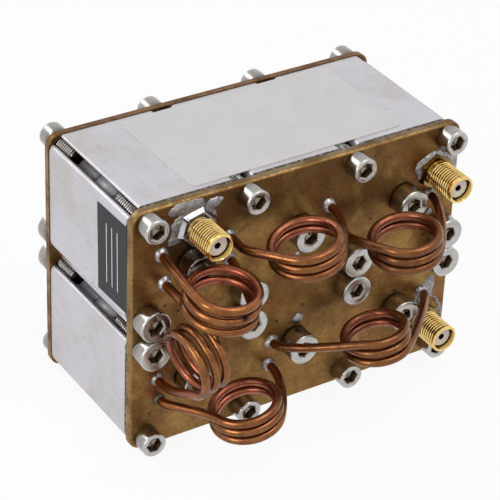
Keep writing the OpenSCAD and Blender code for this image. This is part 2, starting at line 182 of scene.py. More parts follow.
# Burnt spots on the wires, in millimetres
SCORCHES = ((-26.2, -21.5, 41.8),)
SCORCH_RADIUS = 0.5 * MM

# Heat stains on the brass: place on the plate and radius in millimetres, and screen colour
BRASS_STAINS = ((-33.2, 14.0, 4.6, (134, 74, 44)), (-33.2, 43.0, 4.4, (128, 76, 46)),
                (-30.6, 47.6, 3.4, (74, 60, 54)), (-24.6, 47.6, 4.0, (96, 50, 26)),
                (33.4, 40.6, 4.0, (140, 90, 60)), (36.6, 15.6, 4.4, (138, 92, 62)))

# Labels: points along the sides of a sheet, turn on the face, what it is smaller than its
# solid by, and corners
LABEL_GRID = (41, 31)
PAPER_TURN = math.radians(0.6)
PAPER_MARGIN = (0.7 * MM, 0.9 * MM)
PAPER_CORNER = 1.8 * MM
TAPE_TURN = math.radians(1.2)
TAPE_MARGIN = 0.3 * MM
TAPE_CORNER = 0.1 * MM
# Top of the tape and underside of its lines, as shares of the solid's thickness
TAPE_SHARE = 0.7
LINE_SHARE = 0.66
LINE_SIZE = (0.3 * MM, 14 * MM)
LINE_THICKNESS = 0.04 * MM
LINE_CORNER = 0.12 * MM
# Plain lines on the dark tape, measured across it from its middle, in millimetres
TAPE_LINES = (-2.2, 0.0, 2.2)

# Small dark collars: number of the link, start or end, and how burnt
BURNT_COLLARS = {(3, 0): 0.6, (4, 0): 1.0, (0, 1): 0.3}

# Pins on the plate: place and radius, in millimetres, and how burnt the lower half is
PIN_DOTS = ((-0.3, 37.1, 0.6, 0.0), (7.6, 42.3, 0.6, 0.0), (33.3, 37.3, 0.8, 0.0),
            (0.7, 20.4, 1.3, 1.0))

# Sheets of solder on the plate: height, then corners of the outline (x, z), in millimetres
SOLDER_SHEETS = (
    (0.34, ((-32.0, 55.8), (-31.2, 56.7), (-30.3, 57.5), (-29.0, 57.6), (-27.4, 57.6), (-25.1, 57.6),
            (-23.9, 57.2), (-23.0, 55.5), (-22.2, 56.5), (-20.6, 56.8), (-19.0, 56.0), (-19.6, 55.0),
            (-21.0, 54.3), (-20.6, 53.2), (-20.4, 52.3), (-20.7, 50.9), (-22.4, 49.6), (-25.2, 48.9),
            (-28.4, 48.6), (-30.1, 48.2), (-31.8, 48.4), (-31.4, 49.6), (-30.9, 51.2), (-31.0, 52.9),
            (-30.3, 53.7), (-29.2, 54.8), (-31.0, 54.9))),
    (0.45, ((28.6, 48.5), (28.9, 50.0), (30.1, 50.7), (31.6, 51.6), (33.3, 52.2), (34.4, 52.4),
            (35.2, 51.8), (36.6, 51.0), (37.7, 50.1), (39.5, 49.3), (39.5, 45.8), (38.6, 46.7),
            (37.7, 47.4), (36.6, 45.0), (33.0, 44.0), (30.4, 45.4), (29.4, 47.4))),
    (0.35, ((32.8, 41.6), (33.6, 42.4), (34.8, 41.5), (36.1, 39.8), (34.9, 39.7), (33.6, 40.6))),
    (0.4, ((35.8, 20.4), (34.6, 19.6), (33.6, 18.5), (32.6, 17.6), (31.7, 16.7), (31.4, 13.8),
           (31.2, 12.4), (33.4, 13.4), (35.3, 14.3), (36.9, 13.9), (38.2, 11.2), (37.3, 10.3),
           (38.4, 9.8), (39.5, 7.6), (39.5, 9.9), (38.9, 11.6), (37.8, 13.4), (36.4, 14.8),
           (36.2, 16.4), (36.7, 17.7), (36.3, 19.8))),
)
# The sheets' grid, ragged outline, width of the slope at it, lumps and gap to the plate's
# edges, in millimetres, and how burnt they are
SOLDER_STEP = 0.14
SHEET_RAGGED = 0.16
SHEET_SLOPE = 0.9
SHEET_LUMPS = 0.14
SHEET_MARGIN = 0.45
SHEET_BURNT = 0.32
MOUND_SIDES = 40


# Mesh helpers

def add_object(name, data):
    made = bpy.data.objects.new(name, data)
    bpy.context.scene.collection.objects.link(made)
    return made


def mesh_object(name, points, faces, smooth=True):
    mesh = bpy.data.meshes.new(name)
    mesh.from_pydata([tuple(map(float, p)) for p in points], [], faces)
    mesh.polygons.foreach_set("use_smooth", [smooth] * len(mesh.polygons))
    mesh.update()
    return add_object(name, mesh)


def joined(name, forms):
    """One object from several lists of points and faces."""
    points, faces = [], []
    for form_points, form_faces in forms:
        shift = len(points)
        points += list(form_points)
        faces += [tuple(i + shift for i in face) for face in form_faces]
    return mesh_object(name, points, faces)


def points_of(piece):
    return np.array([v.co for v in piece.data.vertices])


def mark(piece, name, values):
    """Writes one number on each point, for a finish to read."""
    attribute = piece.data.attributes.new(name, "FLOAT", "POINT")
    attribute.data.foreach_set("value", np.asarray(values, float))


def mark_sharp(piece, limit=0.6):
    """Keeps hard edges hard on a smooth piece."""
    piece.data.set_sharp_from_angle(angle=limit)


def dress(piece, finish, body, slot, *nodes):
    """Gives a finished piece its material, ties it to its body and hides the solids it stands in for."""
    piece.data.materials.clear()
    piece.data.materials.append(finish)
    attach(piece, body)
    if nodes:
        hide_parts(*nodes)


def repaint(piece, finish, start, end=None):
    """Gives a run of a piece's faces a further material."""
    piece.data.materials.append(finish)
    for polygon in piece.data.polygons[start:end]:
        polygon.material_index = len(piece.data.materials) - 1


def ring_angles(sides):
    return np.arange(sides) * 2 * math.pi / sides


def turned(rows, sides=ROUND_STEPS, tube=False):
    """Points and faces of a turned form, capped at both ends or closed into a tube.

    Each row is (height towards -Y, radius or radii)."""
    angles = ring_angles(sides)
    points = []
    for height, radius in rows:
        r = np.broadcast_to(radius, sides)
        points += list(zip(r * np.cos(angles), np.full(sides, -height), r * np.sin(angles)))
    steps = [(i, (i + 1) % sides) for i in range(sides)]
    faces = [(k * sides + i, k * sides + j, (k + 1) * sides + j, (k + 1) * sides + i)
             for k in range(len(rows) - 1) for i, j in steps]
    last = (len(rows) - 1) * sides
    if tube:
        faces += [(last + i, last + j, j, i) for i, j in steps]
    else:
        start, end = len(points), len(points) + 1
        points += [(0.0, -rows[0][0], 0.0), (0.0, -rows[-1][0], 0.0)]
        faces += [(start, j, i) for i, j in steps] + [(last + i, last + j, end) for i, j in steps]
    return points, faces


def placed(points, centre):
    return [(p[0] + centre[0], p[1] + centre[1], p[2] + centre[2]) for p in points]


def turned_piece(name, form, centre, limit=0.6):
    """An object from a turned form, with its hard edges kept hard."""
    points, faces = form
    piece = mesh_object(name, placed(points, centre), faces)
    mark_sharp(piece, limit)
    return piece


def middle(low, high):
    return [(a + b) / 2 for a, b in zip(low, high)]


def hexagon(flats, sides=ROUND_STEPS):
    """Radii of a hexagon, sampled at the angles of a ring."""
    return flats / 2 / np.cos(np.mod(ring_angles(sides), math.pi / 3) - math.pi / 6)


def thread_rows(start, end, radius, depth, pitch, sides, fade_end=True):
    """Rows of a right-hand thread between two heights, which fades in and perhaps out."""
    turns = np.arange(sides) / sides
    count = int(round((end - start) / pitch * ROWS_PER_TURN))
    rows = []
    for k in range(count + 1):
        height = start + (end - start) * k / count
        phase = np.mod(height / pitch - turns, 1.0)
        crest = np.clip((1 - np.abs(2 * phase - 1)) * 1.6 - 0.4, 0, 1)
        full = min((height - start) / pitch, (end - height) / pitch if fade_end else 1.0)
        rows.append((height, radius - depth * (1 - crest * np.clip(full, 0, 1))))
    return rows


def waves(seed, count, lowest, highest):
    """A sum of sines over two coordinates, with a fixed seed, that stays within about 1."""
    dice = np.random.default_rng(seed)
    angle = dice.uniform(0, 2 * math.pi, count)
    rate = dice.uniform(lowest, highest, count)
    phase = dice.uniform(0, 2 * math.pi, count)

    def value(x, y):
        total = sum(np.sin(f * (x * np.cos(a) + y * np.sin(a)) + p)
                    for a, f, p in zip(angle, rate, phase))
        return total / math.sqrt(count) * 0.7
    return value


# Node helpers

class Graph:
    """Adds nodes to a tree and links them."""

    def __init__(self, tree):
        self.tree = tree
        tree.nodes.clear()

    def feed(self, socket, value):
        if isinstance(value, bpy.types.NodeSocket):
            self.tree.links.new(value, socket)
        else:
            socket.default_value = value

    def node(self, kind, inputs=None, **settings):
        made = self.tree.nodes.new(kind)
        for key, value in settings.items():
            setattr(made, key, value)
        for key, value in (inputs or {}).items():
            self.feed(made.inputs[key], value)
        return made

    def math(self, operation, *values):
        return self.node("ShaderNodeMath", dict(enumerate(values)), operation=operation).outputs[0]

    def plus(self, a, b):
        return self.math("ADD", a, b)

    def minus(self, a, b):
        return self.math("SUBTRACT", a, b)

    def times(self, a, b):
        return self.math("MULTIPLY", a, b)

    def greater(self, a, b):
        return self.math("MAXIMUM", a, b)

    def mix(self, factor, a, b):
        return self.node("ShaderNodeMix", {0: factor, 6: a, 7: b}, data_type="RGBA").outputs[2]

    def noise(self, vector, scale, detail=3.0, roughness=0.55, distortion=0.0):
        return self.node("ShaderNodeTexNoise", {
            "Vector": vector, "Scale": scale, "Detail": detail, "Roughness": roughness,
            "Distortion": distortion}).outputs[0]

    def span(self, value, low, high, to_low=0.0, to_high=1.0):
        return self.node("ShaderNodeMapRange", {
            "Value": value, "From Min": low, "From Max": high, "To Min": to_low, "To Max": to_high},
            interpolation_type="SMOOTHSTEP").outputs[0]

    def split(self, vector):
        return self.node("ShaderNodeSeparateXYZ", {0: vector}).outputs

    def group(self, tree, inputs):
        return self.node("ShaderNodeGroup", inputs, node_tree=tree).outputs[0]


def new_group(kind, name, inputs, output, output_kind):
    """A node group with named inputs of stated kinds and one output, and its graph."""
    tree = bpy.data.node_groups.new(name, kind)
    for label, socket_kind in inputs:
        tree.interface.new_socket(name=label, in_out="INPUT", socket_type="NodeSocket" + socket_kind)
    tree.interface.new_socket(name=output, in_out="OUTPUT", socket_type="NodeSocket" + output_kind)
    graph = Graph(tree)
    return tree, graph, graph.node("NodeGroupInput").outputs


def shared_effect(name, output, build, **settings):
    """A shader group over a vector that puts out one value."""
    inputs = [("Vector", "Vector")] + [
        (label, "Vector" if isinstance(value, tuple) else "Float") for label, value in settings.items()]
    tree, graph, given = new_group("ShaderNodeTree", name, inputs, output, "Float")
    for item in tree.interface.items_tree:
        if item.name in settings:
            item.default_value = settings[item.name]
    graph.node("NodeGroupOutput", {0: build(graph, given)})
    return tree


def geometry_group(name, inputs, output, build):
    """A Geometry Nodes group that ends in real geometry with its material set."""
    tree, graph, given = new_group("GeometryNodeTree", name, inputs + (("Finish", "Material"),),
                                   output, "Geometry")
    whole = graph.node("GeometryNodeRealizeInstances", {0: build(graph, given)})
    painted = graph.node("GeometryNodeSetMaterial", {
        "Geometry": whole.outputs[0], "Material": given["Finish"]})
    graph.node("NodeGroupOutput", {0: painted.outputs[0]})
    return tree


def patches(graph, given):
    """Soft irregular patches that cover about a stated share of the surface."""
    broad = graph.noise(given["Vector"], given["Scale"], 4.0, 0.6, 0.6)
    small = graph.noise(given["Vector"], graph.times(given["Scale"], 3.7), 3.0, 0.6)
    value = graph.plus(graph.times(broad, 0.72), graph.times(small, 0.28))
    edge = graph.minus(0.68, graph.times(given["Cover"], 0.36))
    return graph.span(value, graph.minus(edge, given["Softness"]), graph.plus(edge, given["Softness"]))


def pinholes(graph, given):
    """Small pits, each inside one cell, on a stated share of the cells."""
    cells = graph.node("ShaderNodeTexVoronoi", {"Vector": given["Vector"], "Scale": given["Scale"]})
    chance = graph.node("ShaderNodeSeparateColor", {0: cells.outputs["Color"]}).outputs[0]
    dot = graph.span(cells.outputs["Distance"], 0.12, 0.3, 1.0, 0.0)
    return graph.times(graph.math("LESS_THAN", chance, given["Share"]), dot)


def rim(graph, given):
    """Distance to the outline of an upright plate with round corners."""
    place = graph.split(given["Vector"])
    half = graph.times(given["Height"], 0.5)
    rise = graph.math("ABSOLUTE", graph.minus(place[2], half))
    width = graph.math("ABSOLUTE", place[0])
    across = graph.plus(graph.minus(width, given["HalfWidth"]), given["Corner"])
    above = graph.plus(graph.minus(rise, half), given["Corner"])
    squares = [graph.math("POWER", graph.greater(side, 0.0), 2.0) for side in (across, above)]
    round_part = graph.math("SQRT", graph.plus(*squares))
    flat_part = graph.math("MINIMUM", graph.greater(across, above), 0.0)
    return graph.minus(given["Corner"], graph.plus(round_part, flat_part))


def scratches(graph, given):
    """Fine parallel lines along one stretched direction."""
    stretched = graph.node("ShaderNodeVectorMath", {0: given["Vector"], 1: given["Stretch"]},
                           operation="MULTIPLY").outputs[0]
    return graph.noise(stretched, 1.0, 4.0, 0.65)


PATCHES = shared_effect("patches", "Mask", patches, Scale=100.0, Cover=0.5, Softness=0.08)
PINHOLES = shared_effect("pinholes", "Mask", pinholes, Scale=900.0, Share=0.1)
RIM = shared_effect("rim", "Inside", rim, HalfWidth=0.04, Height=0.058, Corner=0.003)
SCRATCHES = shared_effect("scratches", "Value", scratches, Stretch=(100, 3000, 100))


# Finishes

def rgb(red, green, blue):
    """A colour as it looks on screen, given in 0 to 255, as linear light."""
    def linear(value):
        v = value / 255
        return v / 12.92 if v <= 0.04045 else ((v + 0.055) / 1.055) ** 2.4
    return (linear(red), linear(green), linear(blue), 1.0)


class Finish(Graph):
    """The graph of a new material with one principled shader, over object coordinates."""

    def __init__(self, name, metallic, roughness=0.5):
        self.material = bpy.data.materials.new(name)
        self.material.use_nodes = True
        super().__init__(self.material.node_tree)
        self.place = self.node("ShaderNodeTexCoord").outputs["Object"]
        self.shader = self.node("ShaderNodeBsdfPrincipled", {
            "Metallic": metallic, "Roughness": roughness})
        self.end = self.node("ShaderNodeOutputMaterial", {"Surface": self.shader.outputs[0]})

    def patches(self, scale, cover, softness):
        return self.group(PATCHES, {
            "Vector": self.place, "Scale": scale, "Cover": cover, "Softness": softness})

    def pinholes(self, scale, share):
        return self.group(PINHOLES, {"Vector": self.place, "Scale": scale, "Share": share})

    def read(self, name):
        """The numbers that mark() wrote on the points."""
        return self.node("ShaderNodeAttribute", attribute_name=name).outputs["Fac"]

    def layers(self, tone, *layers):
        """Lays screen colours over a tone. A layer is (mask, colour) or (mask, colour, share)."""
        for mask, colour, *share in layers:
            tone = self.mix(self.times(mask, *(share or (1.0,))), tone, rgb(*colour))
        return tone

    def uneven(self, mask, more, least):
        return self.plus(self.times(mask, more), least)

    def surface(self, tone, roughness=None):
        self.feed(self.shader.inputs["Base Color"], tone)
        if roughness is not None:
            self.feed(self.shader.inputs["Roughness"], roughness)

    def coat(self, weight, roughness):
        self.feed(self.shader.inputs["Coat Weight"], weight)
        self.feed(self.shader.inputs["Coat Roughness"], roughness)

    def bump(self, height, strength, distance):
        bump = self.node("ShaderNodeBump", {
            "Height": height, "Strength": strength, "Distance": distance})
        self.feed(self.shader.inputs["Normal"], bump.outputs[0])


def aged_brass(name, edge_tone, edge_dark, top_tone):
    look = Finish(name, 0.92)
    broad = look.patches(62.0, 0.52, 0.12)
    cloud = look.patches(150.0, 0.45, 0.12)
    pits = look.pinholes(620.0, 0.07)
    grain = look.noise(look.place, 2600.0, 3.0, 0.7)
    rise = look.split(look.place)[2]
    tone = look.layers(
        look.mix(broad, rgb(166, 127, 72), rgb(133, 96, 53)), (cloud, (104, 72, 38), 0.5),
        (look.patches(95.0, 0.32, 0.1), (176, 142, 84), 0.6),
        (look.patches(230.0, 0.3, 0.09), (136, 76, 36), 0.55))
    for x, z, radius, stain in BRASS_STAINS:
        spread = look.node("ShaderNodeVectorMath", {0: look.place, 1: (x * MM, FRONT, z * MM)},
                           operation="DISTANCE").outputs["Value"]
        reach = look.plus(spread, look.times(cloud, 0.8 * MM))
        tone = look.layers(tone, (look.span(reach, 0.4 * radius * MM, radius * MM, 0.6, 0.0), stain))
    drift = look.plus(rise, look.times(broad, 4 * MM))
    tone = look.layers(
        tone, (look.span(drift, PLATE_HEIGHT - 12 * MM, PLATE_HEIGHT, 0.0, 0.42), (78, 56, 38)),
        (look.span(grain, 0.3, 0.7, 0.0, 0.42), (70, 48, 24)),
        (look.pinholes(1500.0, 0.06), (190, 168, 128), 0.4), (pits, (38, 24, 14), 0.85))
    # The sawn edge, and a painted highlight along the chamfer beside it
    inside = look.group(RIM, {"Vector": look.place, "HalfWidth": PLATE_WIDTH / 2,
                              "Height": PLATE_HEIGHT, "Corner": PLATE_CORNER})
    edge = look.mix(look.span(rise, PLATE_HEIGHT - 4 * MM, PLATE_HEIGHT - 0.5 * MM),
                    rgb(*edge_tone), rgb(*top_tone))
    edge = look.layers(edge, (cloud, edge_dark), (pits, (48, 34, 20), 0.7))
    on_edge = look.span(inside, 0.02 * MM, 0.05 * MM, 1.0, 0.0)
    tone = look.mix(on_edge, tone, edge)
    # A painted highlight along the chamfer, broken by the cloud
    bevel_highlight = look.times(look.span(inside, 0.12 * MM, 0.34 * MM, 1.0, 0.0), look.minus(1.0, on_edge))
    bevel_highlight = look.times(bevel_highlight, look.minus(0.8, look.times(cloud, 0.6)))
    tone = look.mix(bevel_highlight, tone, look.mix(look.span(grain, 0.4, 0.6), rgb(186, 150, 92), rgb(132, 100, 56)))
    look.surface(tone, look.uneven(cloud, 0.14, 0.36))
    look.bump(look.minus(grain, look.times(pits, 2.0)), 0.25, 0.03 * MM)
    return look.material


def drawn_aluminium():
    look = Finish("drawn_aluminium", 0.7)
    lines = look.group(SCRATCHES, {"Vector": look.place, "Stretch": (700, 90, 700)})
    fine = look.patches(900.0, 0.5, 0.2)
    tone = look.layers(
        rgb(207, 205, 210), (look.patches(60.0, 0.42, 0.14), (188, 182, 176), 0.7),
        (fine, (186, 184, 190), 0.2), (look.span(lines, 0.35, 0.65, 0.0, 0.08), (160, 158, 166)),
        (look.patches(420.0, 0.08, 0.03), (120, 112, 104), 0.5))
    # A dark dashed line along the plates, painted shade of the crease at each joint, and painted shade in the
    # ports
    along = look.split(look.place)[1]
    # Painted shade of the crease where the bodies meet the plates, in dashes
    seam_shade = look.greater(look.span(along, PLATE_INNER + 0.8 * MM, PLATE_INNER + 1.0 * MM, 1.0, 0.0),
                        look.span(along, BACK_INNER - 0.3 * MM, BACK_INNER - 0.1 * MM, 0.0, 1.0))
    dashes = look.span(look.noise(look.place, 1300.0, 2.0, 0.6), 0.45, 0.65, 1.0, 0.6)
    tone = look.layers(tone, (look.times(seam_shade, dashes), (42, 34, 28)))
    # Painted shade in the ports, darkest at their rear ends
    port_shade_mark = look.read("port_shade_mark")
    port_shade_share = look.times(look.span(port_shade_mark, 0.05, 0.6), look.span(fine, 0.0, 1.0, 0.95, 0.8))
    port_shade_colour = look.mix(look.span(port_shade_mark, 0.5, 0.9), rgb(112, 110, 112), rgb(78, 66, 56))
    look.surface(look.mix(port_shade_share, tone, port_shade_colour), look.span(lines, 0.3, 0.7, 0.38, 0.5))
    look.bump(lines, 0.1, 0.02 * MM)
    return look.material


def nickel_steel(name, tint, side_shade_tint, roughness):
    look = Finish(name, 1.0)
    smear = look.patches(420.0, 0.4, 0.12)
    side = look.read("head_side_shade")
    tone = look.layers(
        rgb(*tint), (smear, (126, 120, 112), 0.3), (look.patches(800.0, 0.14, 0.05), (96, 86, 72), 0.2),
        # Painted shade and reflection: the sides of the heads darker, the sockets brownish
        (side, side_shade_tint, 0.9), (look.read("socket"), (128, 112, 90), 0.8),
        # Painted shade in the grooves of the threads
        (look.span(look.read("groove"), 0.2, 0.9), (40, 32, 26)))
    look.surface(tone, look.minus(look.uneven(smear, 0.1, roughness), look.times(side, 0.1)))
    look.bump(look.noise(look.place, 5200.0, 2.0, 0.6), 0.05, 0.01 * MM)
    return look.material


def gold_plate(name, bright, dull_tone):
    look = Finish(name, 1.0)
    dull = look.patches(500.0, 0.4, 0.12)
    # Painted shade in the grooves of the threads
    groove_shade = look.span(look.read("groove"), 0.22, 0.85)
    tone = look.layers(rgb(*bright), (dull, dull_tone, 0.5), (groove_shade, (66, 38, 12)))
    look.surface(tone, look.uneven(dull, 0.12, 0.12))
    look.coat(0.3, 0.1)
    return look.material


def tarnished_copper():
    look = Finish("tarnished_copper", 0.94)
    streak = look.patches(300.0, 0.5, 0.14)
    spots = look.patches(900.0, 0.2, 0.05)
    # Ochre patina on the sides of the wire that face away from the coil's axis; the redder tone on the inner
    # sides is painted reflection between the passes
    reddish = look.mix(streak, rgb(164, 94, 68), rgb(134, 70, 50))
    ochre = look.mix(streak, rgb(146, 100, 46), rgb(118, 74, 34))
    broken = look.span(look.noise(look.place, 2400.0), 0.3, 0.42)
    tone = look.layers(
        look.mix(look.times(look.read("outer"), 0.75), reddish, ochre),
        (look.patches(160.0, 0.3, 0.1), (100, 58, 36), 0.6), (spots, (78, 44, 32), 0.45),
        (look.read("age"), (84, 56, 34), 0.5), (look.times(look.read("scorch"), broken), (16, 14, 14)))
    look.surface(tone, look.uneven(streak, 0.1, 0.24))
    look.coat(0.15, 0.14)
    look.bump(spots, 0.15, 0.03 * MM)
    return look.material


def soft_solder():
    look = Finish("soft_solder", 0.7)
    dull = look.patches(320.0, 0.55, 0.1)
    pits = look.pinholes(1100.0, 0.14)
    tone = look.layers(
        look.mix(dull, rgb(196, 195, 198), rgb(150, 146, 146)),
        (look.patches(520.0, 0.2, 0.06), (96, 84, 66), 0.6),
        (look.read("burnt"), (66, 64, 50), 0.85), (pits, (70, 62, 54), 0.7))
    look.surface(tone, look.uneven(dull, 0.25, 0.26))
    lumps = look.noise(look.place, 1500.0, 4.0, 0.6)
    look.bump(look.minus(lumps, look.times(pits, 0.8)), 0.35, 0.08 * MM)
    return look.material


def plain_finish(name, colour, roughness, mottle, bump):
    """Paper, tape and plastic: one tone with a faint mottle and a fine bump."""
    look = Finish(name, 0.0, roughness)
    pale = rgb(*colour)
    darker = tuple(c * (1 - mottle) for c in pale[:3]) + (1.0,)
    look.surface(look.mix(look.patches(160.0, 0.5, 0.2), pale, darker))
    look.bump(look.noise(look.place, 3800.0, 3.0, 0.6), bump, 0.02 * MM)
    return look.material


# Copper links

def bezier(a, b, c, d, steps):
    t = np.linspace(0, 1, steps)[:, None]
    return (1 - t) ** 3 * a + 3 * (1 - t) ** 2 * t * b + 3 * (1 - t) * t * t * c + t ** 3 * d


def link_route(start, end, offset, reach, radius, pitch, tilt, first, last, pulls, lying):
    """The middle line of a link, in millimetres, as the solids have it."""
    front = FRONT / MM
    turn = np.array(Euler([math.radians(v) for v in tilt], "XYZ").to_matrix())
    x, z = ((start[k] + end[k]) / 2 + offset[k] for k in (0, 1))
    centre = np.array([x, front - reach, z])

    def helix(degrees):
        a = np.radians(degrees)
        rise = pitch * np.asarray(degrees) / 360
        if lying:
            local = np.stack([rise, -radius * np.cos(a), radius * np.sin(a)], -1)
        else:
            local = np.stack([radius * np.cos(a), radius * np.sin(a), -rise], -1)
        return local @ turn.T + centre

    def heading(degrees):
        step = helix(degrees + 0.5) - helix(degrees - 0.5)
        return step / np.linalg.norm(step)

    out = np.array([0, -1, 0])
    first_exit, last_exit = (np.array([hole[0], front - COLLAR_HEIGHT, hole[1]]) for hole in (start, end))
    behind = np.array([0, PLATE_THICKNESS + WIRE_STUB + COLLAR_HEIGHT, 0])
    coil = helix(np.linspace(first, last, int((last - first) / COIL_STEP)))
    lead_in = bezier(first_exit, first_exit + out * pulls[0],
                     coil[0] - heading(first) * pulls[1], coil[0], LEAD_STEPS)
    lead_out = bezier(coil[-1], coil[-1] + heading(last) * pulls[2],
                      last_exit + out * pulls[3], last_exit, LEAD_STEPS)
    route = np.vstack([[first_exit + behind], lead_in[:-1], coil, lead_out[1:], [last_exit + behind]])
    return route, centre, turn[:, 0] if lying else turn[:, 2]


def drawn_wire(graph, given):
    """Sweeps a round wire along a curve."""
    ring = graph.node("GeometryNodeCurvePrimitiveCircle", {
        "Resolution": given["Sides"], "Radius": given["Radius"]})
    swept = graph.node("GeometryNodeCurveToMesh", {
        "Curve": given["Curve"], "Profile Curve": ring.outputs[0], "Fill Caps": True})
    return graph.node("GeometryNodeSetShadeSmooth", {0: swept.outputs[0]}).outputs[0]


def grown(source, tree, name, values):
    """Runs a Geometry Nodes tree on an object and returns the result as a plain mesh object."""
    modifier = source.modifiers.new("grow", "NODES")
    modifier.node_group = tree
    for item in tree.interface.items_tree:
        if item.in_out == "INPUT" and item.name in values:
            modifier[item.identifier] = values[item.name]
    graph = bpy.context.evaluated_depsgraph_get()
    graph.update()
    mesh = bpy.data.meshes.new_from_object(source.evaluated_get(graph))
    mesh.name = name
    bpy.data.objects.remove(source)
    return add_object(name, mesh)


def curve_object(name, route):
    curve = bpy.data.curves.new(name, "CURVE")
    curve.dimensions = "3D"
    spline = curve.splines.new("POLY")
    spline.points.add(len(route) - 1)
    spline.points.foreach_set("co", np.hstack([route, np.ones((len(route), 1))]).ravel())
    return add_object(name, curve)


def mark_wire(piece, route, centre, axis, age):
    """Marks how far each point faces away from the coil's axis, the wire's age and its scorches."""
    tree = kdtree.KDTree(len(route))
    for i, p in enumerate(route):
        tree.insert(p, i)
    tree.balance()
    points = points_of(piece)
    core = route[[tree.find(p)[1] for p in points]]
    away = core - centre - np.outer((core - centre) @ axis, axis)
    away /= np.maximum(np.linalg.norm(away, axis=1, keepdims=True), 1e-6)
    facing = np.sum((points - core) / WIRE_RADIUS * away, axis=1)
    mark(piece, "outer", np.clip(0.5 + 0.7 * facing, 0, 1))
    mark(piece, "age", np.full(len(points), age))
    spread = np.min([np.linalg.norm(points - np.array(spot) * MM, axis=1) for spot in SCORCHES], axis=0)
    mark(piece, "scorch", np.clip(2.2 - spread / SCORCH_RADIUS, 0, 1))


def make_links(finish):
    tree = geometry_group("drawn_wire", (("Curve", "Geometry"), ("Radius", "Float"), ("Sides", "Int")),
                          "Wire", drawn_wire)
    for name, sizes in LINKS.items():
        route, centre, axis = link_route(*sizes)
        route, centre = route * MM, centre * MM
        wire = grown(curve_object(name + "_line", route), tree, name + "_wire",
                     {"Radius": WIRE_RADIUS, "Sides": WIRE_SIDES, "Finish": finish})
        mark_wire(wire, route, centre, axis, WIRE_AGE[name])
        dress(wire, finish, "block", "copper_wire", name)


# Screws

def screw_form(head_radius, length, knurls=0):
    """A socket head screw with its seat at height 0 and its head towards -Y."""
    sides = ROUND_STEPS if not knurls else knurls * 4
    socket = hexagon(SOCKET_FLATS, sides)
    top, edge = HEAD_HEIGHT, HEAD_EDGE
    tip = THREAD_RADIUS - THREAD_DEPTH
    rows = [(-length, tip * 0.9), (-length + 0.15 * MM, tip)]
    rows += thread_rows(-length + 0.16 * MM, -1.0 * MM, THREAD_RADIUS, THREAD_DEPTH, THREAD_PITCH, sides)
    rows += [(-0.9 * MM, THREAD_RADIUS * 0.97), (0.0, THREAD_RADIUS * 0.97),
             (0.0, head_radius - 0.15 * MM), (0.03 * MM, head_radius - 0.04 * MM),
             (0.15 * MM, head_radius)]
    if knurls:
        teeth = head_radius - KNURL_DEPTH * (np.arange(sides) % 4 // 2)
        rows += [(0.3 * MM, head_radius), (0.4 * MM, teeth), (top - edge - 0.2 * MM, teeth),
                 (top - edge - 0.1 * MM, head_radius)]
    else:
        rows += [(share * top, head_radius) for share in (0.3, 0.55, 0.78)]
    for k in range(7):
        a = math.pi / 2 * k / 6
        rows.append((top - edge + edge * math.sin(a), head_radius - edge + edge * math.cos(a)))
    ring = head_radius - edge - 0.12 * MM
    rows += [(top, ring), (top - 0.04 * MM, ring - 0.05 * MM),
             (top - 0.04 * MM, socket + SOCKET_CHAMFER), (top - SOCKET_CHAMFER * 0.8, socket),
             (top - SOCKET_CHAMFER, socket), (top - SOCKET_DEPTH + 0.05 * MM, socket),
             (top - SOCKET_DEPTH, socket - 0.05 * MM), (top - SOCKET_DEPTH - 0.3 * MM, 0.2 * MM)]
    return turned(rows, sides)


def mark_screws(piece, seat, facing, centres):
    """Marks where painted shade and reflection go: the hexagon sockets, brownish; the sides of the heads,
    darker towards the plate; and the grooves of the threads, dark.
    """
    points = points_of(piece)
    depth = HEAD_HEIGHT - (points[:, 1] - seat) * facing
    away = np.min([np.hypot(points[:, 0] - x, points[:, 2] - z) for x, z in centres], axis=0)
    in_head = depth < HEAD_HEIGHT
    socket = np.clip((depth - 0.05 * MM) / (0.15 * MM), 0, 1) * (away < SOCKET_FLATS * 0.7) * in_head
    side = (depth > 0.4 * MM) & in_head & (away > THREAD_RADIUS + 0.3 * MM)
    # Painted shade and reflection on the sides of the heads, darker towards the plate
    painted_side_shade = np.interp(depth / HEAD_HEIGHT, (0.1, 0.22, 0.45, 0.7, 1.0), (0.5, 0.45, 0.45, 0.7, 1.0))
    # How deep a point lies in a thread's groove, for painted shade
    groove = np.clip((THREAD_RADIUS - away) / THREAD_DEPTH, 0, 1) * (depth > HEAD_HEIGHT + 0.2 * MM)
    mark(piece, "socket", socket)
    mark(piece, "head_side_shade", side * painted_side_shade)
    mark(piece, "groove", groove)


def screw_pattern(graph, given):
    """Sets one screw on two columns each side, in two rows, each turned by chance about its axis."""
    rise = graph.minus(given["High Row"], given["Low Row"])
    height = graph.times(graph.plus(given["High Row"], given["Low Row"]), 0.5)
    both = graph.node("GeometryNodeJoinGeometry")
    for column in ("Outer Column", "Inner Column"):
        grid = graph.node("GeometryNodeMeshGrid", {
            "Size X": graph.times(given[column], 2.0), "Size Y": rise,
            "Vertices X": 2, "Vertices Y": 2})
        graph.feed(both.inputs[0], grid.outputs[0])
    centre = graph.node("ShaderNodeCombineXYZ", {1: given["Plane"], 2: height})
    upright = graph.node("GeometryNodeTransform", {
        "Geometry": both.outputs[0], "Translation": centre.outputs[0],
        "Rotation": (math.pi / 2, 0, 0)})
    source = graph.node("GeometryNodeObjectInfo", {"Object": given["Screw"], "As Instance": True})
    chance = graph.node("FunctionNodeRandomValue", {"Seed": given["Seed"]}, data_type="FLOAT")
    turn = graph.times(chance.outputs[1], 2 * math.pi)
    rotation = graph.node("ShaderNodeCombineXYZ", {1: turn, 2: given["Facing"]})
    return graph.node("GeometryNodeInstanceOnPoints", {
        "Points": upright.outputs[0], "Instance": source.outputs["Geometry"],
        "Rotation": rotation.outputs[0]}).outputs[0]


